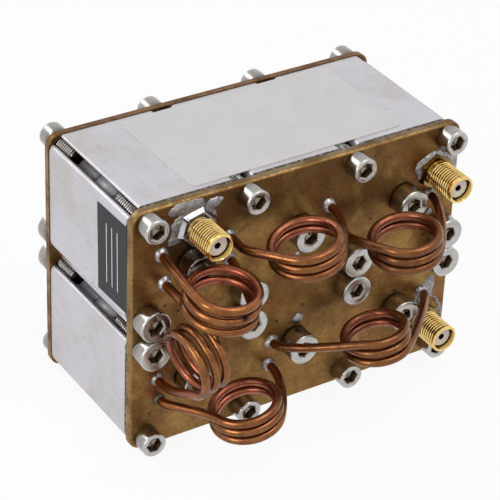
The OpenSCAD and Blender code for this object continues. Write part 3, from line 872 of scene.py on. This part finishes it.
def make_screws(finish):
    tree = geometry_group("screw_pattern", (("Base", "Geometry"), ("Screw", "Object")) + tuple(
        (label, "Float") for label in ("Outer Column", "Inner Column", "Low Row", "High Row",
                                       "Plane", "Facing")) + (("Seed", "Int"),), "Screws", screw_pattern)
    for number, (node, head_radius) in enumerate(FIXED_SCREWS.items()):
        at_front = node.startswith("front")
        length, plane, facing = ((FRONT_SCREW_LENGTH, FRONT, 0.0) if at_front
                                 else (BACK_SCREW_LENGTH, BACK, math.pi))
        screw = mesh_object("screw", *screw_form(head_radius, length))
        mark_sharp(screw)
        low_row, high_row = SCREW_ROWS[node]
        piece = grown(mesh_object("base", [(0, 0, 0)], []), tree, node + "_threaded", {
            "Screw": screw, "Outer Column": SCREW_COLUMNS[3], "Inner Column": SCREW_COLUMNS[2],
            "Low Row": low_row, "High Row": high_row, "Plane": plane, "Facing": facing,
            "Seed": PATTERN_SEED + number, "Finish": finish})
        bpy.data.objects.remove(screw)
        centres = [(x, z) for x in SCREW_COLUMNS for z in SCREW_ROWS[node]]
        mark_screws(piece, plane, -1 if at_front else 1, centres)
        dress(piece, finish, "block", "nickel_steel", node)


def make_tuning_screws(finish, dark_finish):
    """Six large screws, each riding on its own body. The first is dark and has a knurled head."""
    for n in range(1, 7):
        node = f"tuning_screw_{n}"
        points, faces = screw_form(LARGE_HEAD_RADIUS, TUNING_SCREW_LENGTH, KNURLS if n == 1 else 0)
        low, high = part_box(node)
        turn = 0.4 + 1.1 * n
        points = [(p[0] * math.cos(turn) - p[2] * math.sin(turn), p[1],
                   p[0] * math.sin(turn) + p[2] * math.cos(turn)) for p in points]
        x, _, z = middle(low, high)
        seat = low[1] + HEAD_HEIGHT
        piece = turned_piece(node + "_threaded", (points, faces), (x, seat, z))
        mark_screws(piece, seat, -1, [(x, z)])
        dress(piece, dark_finish if n == 1 else finish, f"tuner_{n}", "nickel_steel", node)


# Coaxial jacks

def make_jack(name, gold, lit_mouth_finish, base_finish, base_flats, corner_angle):
    """A threaded barrel with its hexagon base, which flares to a wider foot at the plate."""
    node = f"{name}_shell"
    low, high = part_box(node)
    length = high[1] - low[1]
    steps = corner_angle * JACK_SIDES // 360
    hexagon_radii = np.roll(hexagon(JACK_HEX_FLATS, JACK_SIDES), steps)
    foot_radii = np.roll(hexagon(base_flats, JACK_SIDES), steps)
    round_corner = np.minimum(hexagon_radii, JACK_HEX_FLATS / 2 * 1.1)
    root = JACK_RADIUS - JACK_THREAD_DEPTH
    start = JACK_HEX_THICKNESS + JACK_NECK
    base = [(0.0, JACK_BORE_RADIUS), (0.0, foot_radii), (JACK_HEX_THICKNESS - 0.2 * MM, hexagon_radii),
            (JACK_HEX_THICKNESS, round_corner)]
    thread = thread_rows(start + 0.01 * MM, length - 0.75 * MM, JACK_RADIUS, JACK_THREAD_DEPTH,
                         JACK_THREAD_PITCH, JACK_SIDES, False)
    rim_rows = [(length - depth * MM, JACK_RADIUS - step * MM) for depth, step in (
        (0.7, 0.2), (0.6, 0.2), (0.5, 0), (0.35, 0), (0.05, 0.32), (0, 0.38))]
    mouth = [(length, JACK_MOUTH_RADIUS + 0.08 * MM), (length - 0.08 * MM, JACK_MOUTH_RADIUS),
             (length - JACK_RECESS, JACK_MOUTH_RADIUS - 0.04 * MM), (length - JACK_RECESS, JACK_BORE_RADIUS)]
    rows = base + [(JACK_HEX_THICKNESS, root), (start, root)] + thread + rim_rows + mouth
    x, _, z = middle(low, high)
    piece = turned_piece(f"{name}_barrel", turned(rows, JACK_SIDES, True), (x, high[1], z), 0.5)
    # How deep a point lies in the thread's grooves, for painted shade
    mark(piece, "groove", np.concatenate([
        np.clip((JACK_RADIUS - np.broadcast_to(radius, JACK_SIDES)) / JACK_THREAD_DEPTH, 0, 1)
        * (start < height < length - 0.72 * MM) for height, radius in rows]))
    dress(piece, gold, "block", "gold_plate", node)
    # The hexagon base takes its own finish: tinned on the left jack, and on the others a darker copy of the
    # gold, painted dark reflection
    repaint(piece, base_finish, 0, len(base) * JACK_SIDES)
    # The mouth's lip and inner wall take a brighter copy of the gold, painted light
    repaint(piece, lit_mouth_finish, (len(rows) - len(mouth)) * JACK_SIDES, (len(rows) - 1) * JACK_SIDES)


def make_insulator(name, finish, hole_shade_finish):
    """The white insulator, a little nearer to the mouth, with rounded edges and its hole painted dark as
    shade.
    """
    low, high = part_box(f"{name}_insulator")
    radius, hole = (high[0] - low[0]) / 2, INSULATOR_HOLE
    length = high[1] - low[1] + INSULATOR_STEP
    rows = [(0.0, hole), (0.0, radius), (length - 0.1 * MM, radius), (length - 0.03 * MM, radius - 0.03 * MM),
            (length, radius - 0.1 * MM), (length, hole + 0.08 * MM), (length - 0.06 * MM, hole)]
    x, _, z = middle(low, high)
    piece = turned_piece(f"{name}_dielectric", turned(rows, INSULATOR_SIDES, True), (x, high[1], z), 0.7)
    dress(piece, finish, "block", "white_ptfe", f"{name}_insulator")
    # The hole's rim and wall take the dark finish, painted shade
    repaint(piece, hole_shade_finish, (len(rows) - 2) * INSULATOR_SIDES)


# Aluminium bodies

def heading(degrees):
    return np.array([math.cos(math.radians(degrees)), math.sin(math.radians(degrees))])


def aside(degrees):
    """A quarter turn to the left of a heading."""
    return np.array([-math.sin(math.radians(degrees)), math.cos(math.radians(degrees))])


def arc_points(centre, radius, angles):
    return [centre + radius * np.array([math.cos(t), math.sin(t)]) for t in angles]


def inside_outline(x, z, low, high):
    """Whether a point lies in the rounded rectangle of a body's section."""
    across = abs(x - (low[0] + high[0]) / 2) - (high[0] - low[0]) / 2 + BODY_EDGE
    above = abs(z - (low[2] + high[2]) / 2) - (high[2] - low[2]) / 2 + BODY_EDGE
    return math.hypot(max(across, 0), max(above, 0)) + min(max(across, above), 0) < BODY_EDGE


def port_cut(centre, direction, opening, low, high):
    """The way into a port and out again: lip, slot wall, round bottom, slot wall, lip."""
    out, across = heading(direction), aside(direction)
    half = opening / 2
    lips = []
    for side in (-half, half):
        near, far = 0.0, LIP_REACH
        for _ in range(40):
            reach = (near + far) / 2
            x, z = centre + out * reach + across * side
            near, far = (reach, far) if inside_outline(x, z, low, high) else (near, reach)
        lips.append(centre + out * near + across * side)
    narrow = half < PORT_RADIUS
    a = math.radians(direction)
    first = math.asin(half / PORT_RADIUS) if narrow else math.pi / 2
    angles = np.linspace(a - first, a - 2 * math.pi + first, PORT_STEPS + 1)
    arc = arc_points(centre, PORT_RADIUS, angles)
    if narrow:
        return [lips[0]] + arc + [lips[1]]
    return [lips[0], centre - across * half] + arc + [centre + across * half, lips[1]]


def body_outline(low, high, ports):
    """The section of a body, anticlockwise, with its ports cut in. Ports are (centre, direction)."""
    points = []
    corners = ((high[0], high[2], 0), (low[0], high[2], 90), (low[0], low[2], 180), (high[0], low[2], 270))
    for x, z, start in corners:
        centre = np.array([x - math.copysign(BODY_EDGE, x), z + (BODY_EDGE if z == low[2] else -BODY_EDGE)])
        arc = arc_points(centre, BODY_EDGE, np.radians(np.arange(start, start + 91, 5)))
        arc = [arc[0] - aside(start) * 0.3 * MM] + arc + [arc[-1] + aside(start + 90) * 0.3 * MM]
        for place, direction in ports:
            if direction == start + 45:
                offset = [(p - place) @ aside(direction) for p in arc]
                arc = ([p for p, o in zip(arc, offset) if o < -CORNER_SLOT / 2 - 0.05 * MM]
                       + port_cut(place, direction, CORNER_SLOT, low, high)
                       + [p for p, o in zip(arc, offset) if o > CORNER_SLOT / 2 + 0.05 * MM])
        points += arc
        side = [p for p in ports if p[1] == start + 90]
        for place, direction in sorted(side, key=lambda p: -p[0][0] * math.sin(math.radians(start + 90))):
            points += port_cut(place, direction, MIDDLE_SLOT, low, high)
    return np.array(points)


def softened(outline, places, limit=0.6, steps=5):
    """Rounds the sharp corners of a closed outline, with a supporting point beside each round."""
    ahead = np.roll(outline, -1, 0) - outline
    length = np.hypot(*ahead.T)
    course = np.arctan2(ahead[:, 1], ahead[:, 0])
    turn = np.abs((course - np.roll(course, 1) + math.pi) % (2 * math.pi) - math.pi)
    sharp = np.nonzero(turn > limit)[0]
    along = np.concatenate([[0], np.cumsum(length)])
    total = along[-1]
    place = along[sharp]
    after = (np.roll(place, -1) - place) % total
    corners = outline[sharp]
    outer = np.min([np.hypot(*(corners - p).T) for p in places], axis=0) > TAP_RADIUS + 0.2 * MM
    room = np.minimum(after, np.roll(after, 1))
    cut = np.where(outer, np.minimum(LIP_ROUND, 0.66 * room), np.minimum(0.25 * MM, 0.28 * room))
    closed = np.vstack([outline, outline[:1]])

    def at(s):
        return np.array([np.interp(s % total, along, closed[:, k]) for k in (0, 1)])

    result = []
    for i, point in enumerate(outline):
        near = np.abs((along[i] - place + total / 2) % total - total / 2)
        close = np.nonzero(near <= cut * 1.15)[0]
        if len(close) == 0:
            result.append(point)
        elif sharp[close[0]] == i:
            c = cut[close[0]]
            a, b = at(along[i] - c), at(along[i] + c)
            result.append(at(along[i] - 1.12 * c))
            for t in np.linspace(0, 1, steps + 1):
                result.append((1 - t) ** 2 * a + 2 * t * (1 - t) * point + t * t * b)
            result.append(at(along[i] + 1.12 * c))
    return np.array(result)


def tap_sleeve(centre, direction, opening, start, end):
    """A female thread in the closed part of a port, from one depth to another."""
    half, steps = opening / 2, TAP_STEPS
    first = math.radians(30) if half < PORT_RADIUS else math.pi / 2
    a = math.radians(direction)
    angles = np.linspace(a - first, a - 2 * math.pi + first, steps)
    wall = half / np.maximum(np.abs(np.sin(angles - a)), 1e-3) * (np.cos(angles - a) > 0)
    crest = (np.clip(wall, PORT_RADIUS, TAP_RADIUS - 0.03 * MM) if half < PORT_RADIUS
             else np.full(steps, PORT_RADIUS))
    groove, outside = np.full(steps, TAP_RADIUS - 0.02 * MM), np.full(steps, TAP_RADIUS + 0.12 * MM)
    share = angles / (2 * math.pi)
    points, rows = [], 0
    for k in range(-2, int((end - start) / THREAD_PITCH) + 3):
        for step, inner in ((0.0, crest), (0.12, crest), (0.5, groove), (0.62, groove)):
            y = np.clip(start + (k + step - share) * THREAD_PITCH, start, end)
            for radius, order in ((inner, slice(None)), (outside, slice(None, None, -1))):
                points += list(zip((centre[0] + radius * np.cos(angles))[order], y[order],
                                   (centre[1] + radius * np.sin(angles))[order]))
            rows += 1
    ring = 2 * steps
    faces = [(r * ring + i, r * ring + (i + 1) % ring, (r + 1) * ring + (i + 1) % ring, (r + 1) * ring + i)
             for r in range(rows - 1) for i in range(ring)]
    for r in (0, rows - 1):
        strip = [(r * ring + i, r * ring + i + 1, r * ring + ring - 2 - i, r * ring + ring - 1 - i)
                 for i in range(steps - 1)]
        faces += [f if r else f[::-1] for f in strip]
    return points, faces


def port_sections(narrow, ports):
    """The section with its ports at tap width, the section with shallow ports, and marks of where painted
    shade goes in the ports.
    """
    wide, shallow, port_shade_mark = narrow.copy(), narrow.copy(), np.zeros(len(narrow))
    for place, direction in ports:
        away = narrow - place
        distance = np.hypot(*away.T)
        along = away @ heading(direction)
        near = distance < TAP_RADIUS
        if direction in (90, 270):
            near &= along < 0.02 * MM
        wide[near] = place + away[near] * (TAP_RADIUS / distance[near])[:, None]
        port_shade_mark = np.maximum(port_shade_mark, distance < TAP_RADIUS + 0.2 * MM)
        floor = (distance < PORT_RADIUS + 0.05 * MM) & (along < 0)
        shallow[floor] -= heading(direction) * (along[floor] * (1 - FLOOR_SHARE))[:, None]
    return wide, shallow, port_shade_mark


def extruded(levels, port_shade_mark, cavity_z):
    """Points, faces and painted shade of the ports of a solid drawn through sections, with three cavities
    along it.
    """
    shape = bmesh.new()
    layer = shape.verts.layers.float.new("port_shade_mark")
    loops = []
    for y, section, share in levels:
        loops.append([shape.verts.new((p[0], y, p[1])) for p in section])
        for v, value in zip(loops[-1], port_shade_mark):
            v[layer] = value * share
    rings = [[loops[0]], [loops[-1]]]
    for a, b in zip(loops, loops[1:]):
        for i in range(len(a)):
            j = (i + 1) % len(a)
            shape.faces.new((a[i], a[j], b[j], b[i]))
    for x in CAVITY_COLUMNS:
        circle = arc_points((x, cavity_z), CAVITY_RADIUS, ring_angles(CAVITY_SIDES))
        near, far = ([shape.verts.new((p[0], level[0], p[1])) for p in circle]
                     for level in (levels[0], levels[-1]))
        for i in range(CAVITY_SIDES):
            j = (i + 1) % CAVITY_SIDES
            shape.faces.new((near[i], far[i], far[j], near[j]))
        rings[0].append(near)
        rings[1].append(far)
    for end in rings:
        edges = [shape.edges.get((v, ring[(i + 1) % len(ring)])) for ring in end for i, v in enumerate(ring)]
        bmesh.ops.triangle_fill(shape, use_beauty=True, use_dissolve=False, edges=edges)
    bmesh.ops.recalc_face_normals(shape, faces=shape.faces)
    mesh = bpy.data.meshes.new("extruded")
    shape.to_mesh(mesh)
    shape.free()
    points, faces = [tuple(v.co) for v in mesh.vertices], [tuple(p.vertices) for p in mesh.polygons]
    port_shade_share = np.zeros(len(points), np.float32)
    mesh.attributes["port_shade_mark"].data.foreach_get("value", port_shade_share)
    bpy.data.meshes.remove(mesh)
    return points, faces, port_shade_share


def make_body(node, finish, cavity_z, rows):
    """An extruded body: section with rounded lips, cavities, tapped ports. Rows are (height, side)."""
    low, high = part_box(node)
    front, back = low[1], high[1]
    slanted = {(0, 1): 135, (3, 1): 45, (0, -1): 225, (3, -1): 315}
    ports = [(np.array([x, z]), slanted.get((k, side), 90 if side > 0 else 270))
             for z, side in rows for k, x in enumerate(SCREW_COLUMNS)]
    narrow = softened(body_outline(low, high, ports), [p[0] for p in ports])
    wide, shallow, port_shade_mark = port_sections(narrow, ports)
    # Distance along the body, section, and how much painted shade the ports get there
    levels = ((front, wide, 0.6), (front + TAP_LENGTH - 0.6 * MM, wide, 0.5),
              (front + TAP_LENGTH + VALLEY_EASE, shallow, VALLEY_SHADE),
              (back - TAP_LENGTH - VALLEY_EASE, shallow, VALLEY_SHADE),
              (back - TAP_LENGTH + 0.6 * MM, wide, VALLEY_SHADE), (back - DARK_LENGTH - 0.8 * MM, wide, 0.45),
              (back - DARK_LENGTH, wide, 1), (back, wide, 1))
    points, faces, port_shade_share = extruded(levels, port_shade_mark, cavity_z)
    forms = [(points, faces)]
    for place, direction in ports:
        opening = MIDDLE_SLOT if direction in (90, 270) else CORNER_SLOT
        for start, end in ((front + FRONT_SCREW_LENGTH - TAP_SHOWN, front + TAP_LENGTH),
                           (back - TAP_LENGTH, back - BACK_SCREW_LENGTH + TAP_SHOWN)):
            forms.append(tap_sleeve(place, direction, opening, start, end))
    piece = joined(node + "_extrusion", forms)
    sleeves = len(piece.data.vertices) - len(port_shade_share)
    mark(piece, "port_shade_mark", np.concatenate([port_shade_share, np.full(sleeves, SLEEVE_SHADE)]))
    mark_sharp(piece, 0.7)
    dress(piece, finish, "block", "drawn_aluminium", node)


# Labels

def label_sheet(name, centre, axes, size, thickness, corner, seed, lift=0.0):
    """A thin sheet with round corners, faintly wavy. Its axes are across, up and outwards."""
    columns, rows = LABEL_GRID
    wave = waves(seed, 6, 0.12, 0.5)
    across, up, normal = (np.array(axis) for axis in axes)
    flat = [side / 2 - corner for side in size]
    points = []
    for level in (1, 0):
        for i in range(columns):
            for j in range(rows):
                u = (2 * i / (columns - 1) - 1) * size[0] / 2
                v = (2 * j / (rows - 1) - 1) * size[1] / 2
                over_u, over_v = abs(u) - flat[0], abs(v) - flat[1]
                if over_u > 0 and over_v > 0:
                    reach = max(over_u, over_v) / math.hypot(over_u, over_v)
                    u = math.copysign(flat[0] + over_u * reach, u)
                    v = math.copysign(flat[1] + over_v * reach, v)
                rise = thickness * level * (0.82 + 0.16 * wave(u / MM, v / MM))
                points.append(np.array(centre) + across * u + up * v + normal * (rise + lift))
    faces = []
    count = columns * rows
    for i in range(columns - 1):
        for j in range(rows - 1):
            a, b, c, d = i * rows + j, (i + 1) * rows + j, (i + 1) * rows + j + 1, i * rows + j + 1
            faces += [(a, b, c, d), (count + d, count + c, count + b, count + a)]
    edge = ([i * rows for i in range(columns)] + [(columns - 1) * rows + j for j in range(1, rows)]
            + [i * rows + rows - 1 for i in range(columns - 2, -1, -1)] + list(range(rows - 2, 0, -1)))
    faces += [(b, a, a + count, b + count) for a, b in zip(edge, edge[1:] + edge[:1])]
    piece = mesh_object(name, points, faces)
    mark_sharp(piece, 0.7)
    return piece


def make_labels(paper_finish, tape_finish, line_finish):
    """The bare paper label on the top, and the dark tape with its plain lines on the left side."""
    low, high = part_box("paper_label")
    x, y, _ = middle(low, high)
    turn = PAPER_TURN
    axes = ((math.cos(turn), math.sin(turn), 0), (-math.sin(turn), math.cos(turn), 0), (0, 0, 1))
    size = (high[0] - low[0] - PAPER_MARGIN[0], high[1] - low[1] - PAPER_MARGIN[1])
    piece = label_sheet("bare_paper", (x, y, low[2]), axes, size, high[2] - low[2], PAPER_CORNER, 5)
    dress(piece, paper_finish, "block", "paper", "paper_label")

    low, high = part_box("side_label")
    _, y, z = middle(low, high)
    turn = TAPE_TURN
    axes = ((0, -math.cos(turn), math.sin(turn)), (0, math.sin(turn), math.cos(turn)), (-1, 0, 0))
    size = (high[1] - low[1] - TAPE_MARGIN, high[2] - low[2] - TAPE_MARGIN)
    thickness = high[0] - low[0]
    centre = (high[0], y, z)
    piece = label_sheet("dark_tape", centre, axes, size, thickness * TAPE_SHARE, TAPE_CORNER, 9)
    dress(piece, tape_finish, "block", "dark_label", "side_label")
    for k, offset in enumerate(TAPE_LINES):
        place = np.array(centre) + np.array(axes[0]) * offset * MM
        piece = label_sheet(f"tape_line_{k + 1}", place, axes, LINE_SIZE, LINE_THICKNESS,
                            LINE_CORNER, 12 + k, thickness * LINE_SHARE)
        dress(piece, line_finish, "block", "dark_label")


# Solder

def solder_mound(seed, base_radius, core_radius, height):
    """A small uneven mound on the plate, round a wire or a pin."""
    angles = ring_angles(MOUND_SIDES)
    swell = 1 + 0.13 * waves(seed, 5, 0.8, 3.0)(np.cos(angles) * 1.6, np.sin(angles) * 1.6)
    rows = [(-0.02 * MM, base_radius * swell)]
    for t in (0.1, 0.22, 0.36, 0.5, 0.65, 0.8, 0.92, 1.0):
        radius = core_radius + (base_radius * swell - core_radius) * (1 - t) ** 0.6
        rows.append((height * t ** 0.8, radius))
    return turned(rows, MOUND_SIDES)


def make_solder(name, forms, burnt, finish, node):
    piece = joined(name, forms)
    mark(piece, "burnt", burnt)
    dress(piece, finish, "block", "solder", node)


def make_collars(finish):
    forms, marks = [], []
    for k, sizes in enumerate(LINKS.values()):
        for e, hole in enumerate(sizes[:2]):
            burnt = BURNT_COLLARS.get((k, e), 0.0)
            points, faces = solder_mound(11 + 2 * k + e, (COLLAR_RADIUS - 0.25 * burnt) * MM,
                                         COLLAR_CORE * MM, (1 - 0.3 * burnt) * COLLAR_HEIGHT * MM)
            forms.append((placed(points, (hole[0] * MM, FRONT, hole[1] * MM)), faces))
            marks += [burnt] * len(points)
    make_solder("solder_collars", forms, marks, finish, "link_collars")


def make_pin_dots(finish):
    forms, marks = [], []
    for k, (x, z, radius, burnt) in enumerate(PIN_DOTS):
        points, faces = solder_mound(41 + k, radius * MM, radius * 0.12 * MM, radius * 0.7 * MM)
        forms.append((placed(points, (x * MM, FRONT, z * MM)), faces))
        marks += [burnt * float(np.clip(0.4 - p[2] / (0.4 * radius * MM), 0, 1)) for p in points]
    make_solder("solder_dots", forms, marks, finish, "plate_solder")


def solder_patch(seed, outline, top):
    """A low uneven sheet of solder inside a ragged outline, as a height field on the plate."""
    corners = np.array(outline)
    low, high = corners.min(0) - 0.5, corners.max(0) + 0.5
    x, z = np.meshgrid(np.arange(low[0], high[0], SOLDER_STEP), np.arange(low[1], high[1], SOLDER_STEP),
                       indexing="ij")
    inside = np.zeros(x.shape, bool)
    nearest = np.full(x.shape, 1e9)
    for a, b in zip(corners, np.roll(corners, -1, 0)):
        span = b - a
        t = np.clip(((x - a[0]) * span[0] + (z - a[1]) * span[1]) / span.dot(span), 0, 1)
        nearest = np.minimum(nearest, np.hypot(x - a[0] - t * span[0], z - a[1] - t * span[1]))
        crosses = (a[1] > z) != (b[1] > z)
        with np.errstate(divide="ignore", invalid="ignore"):
            inside ^= crosses & (x < a[0] + (z - a[1]) * span[0] / span[1])
    depth = np.where(inside, nearest, -nearest) + SHEET_RAGGED * waves(seed, 12, 1.5, 6.0)(x, z)
    lumps = waves(seed + 1, 12, 1.5, 6.0)(x, z)
    height = top * np.sqrt(np.clip(depth / SHEET_SLOPE, 0, 1)) * (1 + SHEET_LUMPS * lumps)
    on_plate = ((np.abs(x) < PLATE_WIDTH / MM / 2 - SHEET_MARGIN)
                & (z < PLATE_HEIGHT / MM - SHEET_MARGIN))
    height = np.where(on_plate & (depth > 0), height + 0.03, 0)
    filled = height > 0
    cells = filled[:-1, :-1] | filled[1:, :-1] | filled[:-1, 1:] | filled[1:, 1:]
    used = np.zeros(x.shape, bool)
    for i, j in zip(*np.nonzero(cells)):
        used[i:i + 2, j:j + 2] = True
    count = int(used.sum())
    number = -np.ones(x.shape, int)
    number[used] = np.arange(count)
    points = [(a * MM, FRONT + 0.01 * MM - h * MM, b * MM)
              for a, b, h in zip(x[used], z[used], height[used])]
    points += [(p[0], FRONT + 0.04 * MM, p[2]) for p in points]
    faces, sides = [], {}
    for i, j in zip(*np.nonzero(cells)):
        loop = (number[i, j], number[i + 1, j], number[i + 1, j + 1], number[i, j + 1])
        faces += [loop, tuple(count + k for k in reversed(loop))]
        for pair in zip(loop, loop[1:] + loop[:1]):
            sides[pair] = True
    faces += [(b, a, a + count, b + count) for a, b in sides if (b, a) not in sides]
    return points, faces


def make_jack_solder(finish):
    forms = [solder_patch(71 + 5 * k, outline, top) for k, (top, outline) in enumerate(SOLDER_SHEETS)]
    marks = [SHEET_BURNT] * sum(len(points) for points, _ in forms)
    make_solder("jack_solder_sheet", forms, marks, finish, "jack_solder")


# Camera, light and floor

def place_camera():
    a, e, r = CAMERA_AZIMUTH, CAMERA_ELEVATION, CAMERA_ROLL
    back = Vector((math.sin(a) * math.cos(e), -math.cos(a) * math.cos(e), math.sin(e)))
    level = Vector((math.cos(a), math.sin(a), 0))
    right = level * math.cos(r) + back.cross(level) * math.sin(r)
    data = bpy.data.cameras.new("camera")
    data.lens = CAMERA_LENS
    data.sensor_width = CAMERA_SENSOR
    data.shift_x, data.shift_y = CAMERA_SHIFT
    data.clip_start = 0.01
    camera = add_object("camera", data)
    matrix = camera.matrix_world.copy()
    place = CAMERA_AIM + back * CAMERA_DISTANCE
    for k, column in enumerate((right, back.cross(right), back, place)):
        for row in range(3):
            matrix[row][k] = column[row]
    camera.matrix_world = matrix
    bpy.context.scene.camera = camera


def seen_directly(graph):
    """One for what the camera, a reflection or a clear material sees."""
    path = graph.node("ShaderNodeLightPath").outputs
    return graph.greater(path["Is Camera Ray"],
                         graph.greater(path["Is Glossy Ray"], path["Is Transmission Ray"]))


def light_scene():
    for name, (place, size, power) in LAMPS.items():
        data = bpy.data.lights.new(name, "AREA")
        data.shape = "RECTANGLE"
        data.size, data.size_y = size
        data.energy = power
        lamp = add_object(name, data)
        lamp.location = place
        lamp.rotation_euler = (LAMP_AIM - Vector(place)).to_track_quat("-Z", "Y").to_euler()
    world = bpy.data.worlds.new("studio")
    world.use_nodes = True
    bpy.context.scene.world = world
    graph = Graph(world.node_tree)
    ambient = graph.node("ShaderNodeBackground", {"Color": AMBIENT_COLOUR, "Strength": AMBIENT_STRENGTH})
    white = graph.node("ShaderNodeBackground", {"Color": WHITE, "Strength": 1.0})
    mixed = graph.node("ShaderNodeMixShader", {
        0: seen_directly(graph), 1: ambient.outputs[0], 2: white.outputs[0]})
    graph.node("ShaderNodeOutputWorld", {"Surface": mixed.outputs[0]})


def make_floor():
    """A pale floor that looks nearly white and keeps a faint shadow."""
    half = FLOOR_HALF
    floor = mesh_object("floor", [(-half, -half, 0), (half, -half, 0), (half, half, 0), (-half, half, 0)],
                        [(0, 1, 2, 3)], False)
    look = Finish("pale_floor", 0.0, 0.9)
    look.surface((0.9, 0.9, 0.9, 1.0))
    glow = look.node("ShaderNodeEmission", {"Color": WHITE, "Strength": 1.0})
    share = look.times(seen_directly(look), FLOOR_WHITE)
    mixed = look.node("ShaderNodeMixShader", {0: share, 1: look.shader.outputs[0], 2: glow.outputs[0]})
    look.feed(look.end.inputs["Surface"], mixed.outputs[0])
    floor.data.materials.append(look.material)


# The scene

place_camera()
light_scene()
make_floor()

brass = aged_brass("front_brass", (146, 118, 72), (104, 78, 44), (136, 116, 84))
back_brass = aged_brass("back_brass", (150, 116, 82), (92, 62, 38), (128, 92, 60))
aluminium = drawn_aluminium()
nickel = nickel_steel("nickel_steel", (190, 188, 185), (112, 106, 100), 0.22)
dark_nickel = nickel_steel("dark_nickel", (126, 118, 110), (92, 80, 68), 0.2)
gold = gold_plate("gold_plate", (238, 205, 128), (186, 136, 58))
# A brighter copy of the gold, painted light in the mouths of the jacks
lit_mouth_gold = gold_plate("lit_mouth_gold", (255, 230, 146), (248, 204, 106))
# A darker, olive copy of the gold for the hexagon bases, painted dark reflection
shaded_hex_gold = gold_plate("shaded_hex_gold", (150, 126, 66), (104, 82, 40))
tinned = nickel_steel("tinned_brass", (192, 192, 198), (192, 192, 198), 0.2)
# A dark copy of the gold for the contacts and the insulators' holes, painted shade
shaded_pin_gold = gold_plate("shaded_pin_gold", (112, 66, 44), (84, 46, 30))
copper = tarnished_copper()
solder = soft_solder()
white_plastic = plain_finish("white_plastic", (236, 230, 230), 0.5, 0.04, 0.1)
former_plastic = plain_finish("former_plastic", (222, 214, 190), 0.4, 0.05, 0.1)
paper = plain_finish("label_paper", (223, 220, 218), 0.65, 0.07, 0.25)
tape = plain_finish("label_tape", (24, 23, 28), 0.6, 0.1, 0.2)
pale_line = plain_finish("pale_line", (214, 212, 214), 0.6, 0.08, 0.2)

FINISHES = {
    "patinated_brass": brass, "drawn_aluminium": aluminium, "solder": solder, "copper_wire": copper,
    "gold_plate": gold, "white_ptfe": white_plastic, "nickel_steel": nickel,
    "former_plastic": former_plastic, "paper": paper, "dark_label": tape,
}
for part in frame["record"]["subparts"]:
    solid = frame["nodes"][part["node"]]
    solid.data.materials.clear()
    solid.data.materials.append(FINISHES[part["material_slot"]])
frame["nodes"]["back_plate"].data.materials[0] = back_brass

make_body("upper_body", aluminium, middle(*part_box("coil_former_1"))[2],
          ((SCREW_ROWS["front_middle_screws"][1], -1), (SCREW_ROWS["front_edge_screws"][1], 1)))
make_body("lower_body", aluminium, middle(*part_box("coil_former_4"))[2],
          ((SCREW_ROWS["front_edge_screws"][0], -1), (SCREW_ROWS["front_middle_screws"][0], 1)))
make_labels(paper, tape, pale_line)
make_links(copper)
make_screws(nickel)
make_tuning_screws(nickel, dark_nickel)
for jack, base, base_flats, corner_angle in (("jack_left", tinned, 8.6 * MM, 15),
                                             ("jack_upper", shaded_hex_gold, 7.4 * MM, 30),
                                             ("jack_lower", shaded_hex_gold, 7.4 * MM, 30)):
    # The contacts take the dark copy of the gold, painted shade
    frame["nodes"][f"{jack}_contact"].data.materials[0] = shaded_pin_gold
    make_jack(jack, gold, lit_mouth_gold, base, base_flats, corner_angle)
    make_insulator(jack, white_plastic, shaded_pin_gold)
make_collars(solder)
make_pin_dots(solder)
make_jack_solder(solder)

bpy.context.scene.view_settings.view_transform = "Standard"
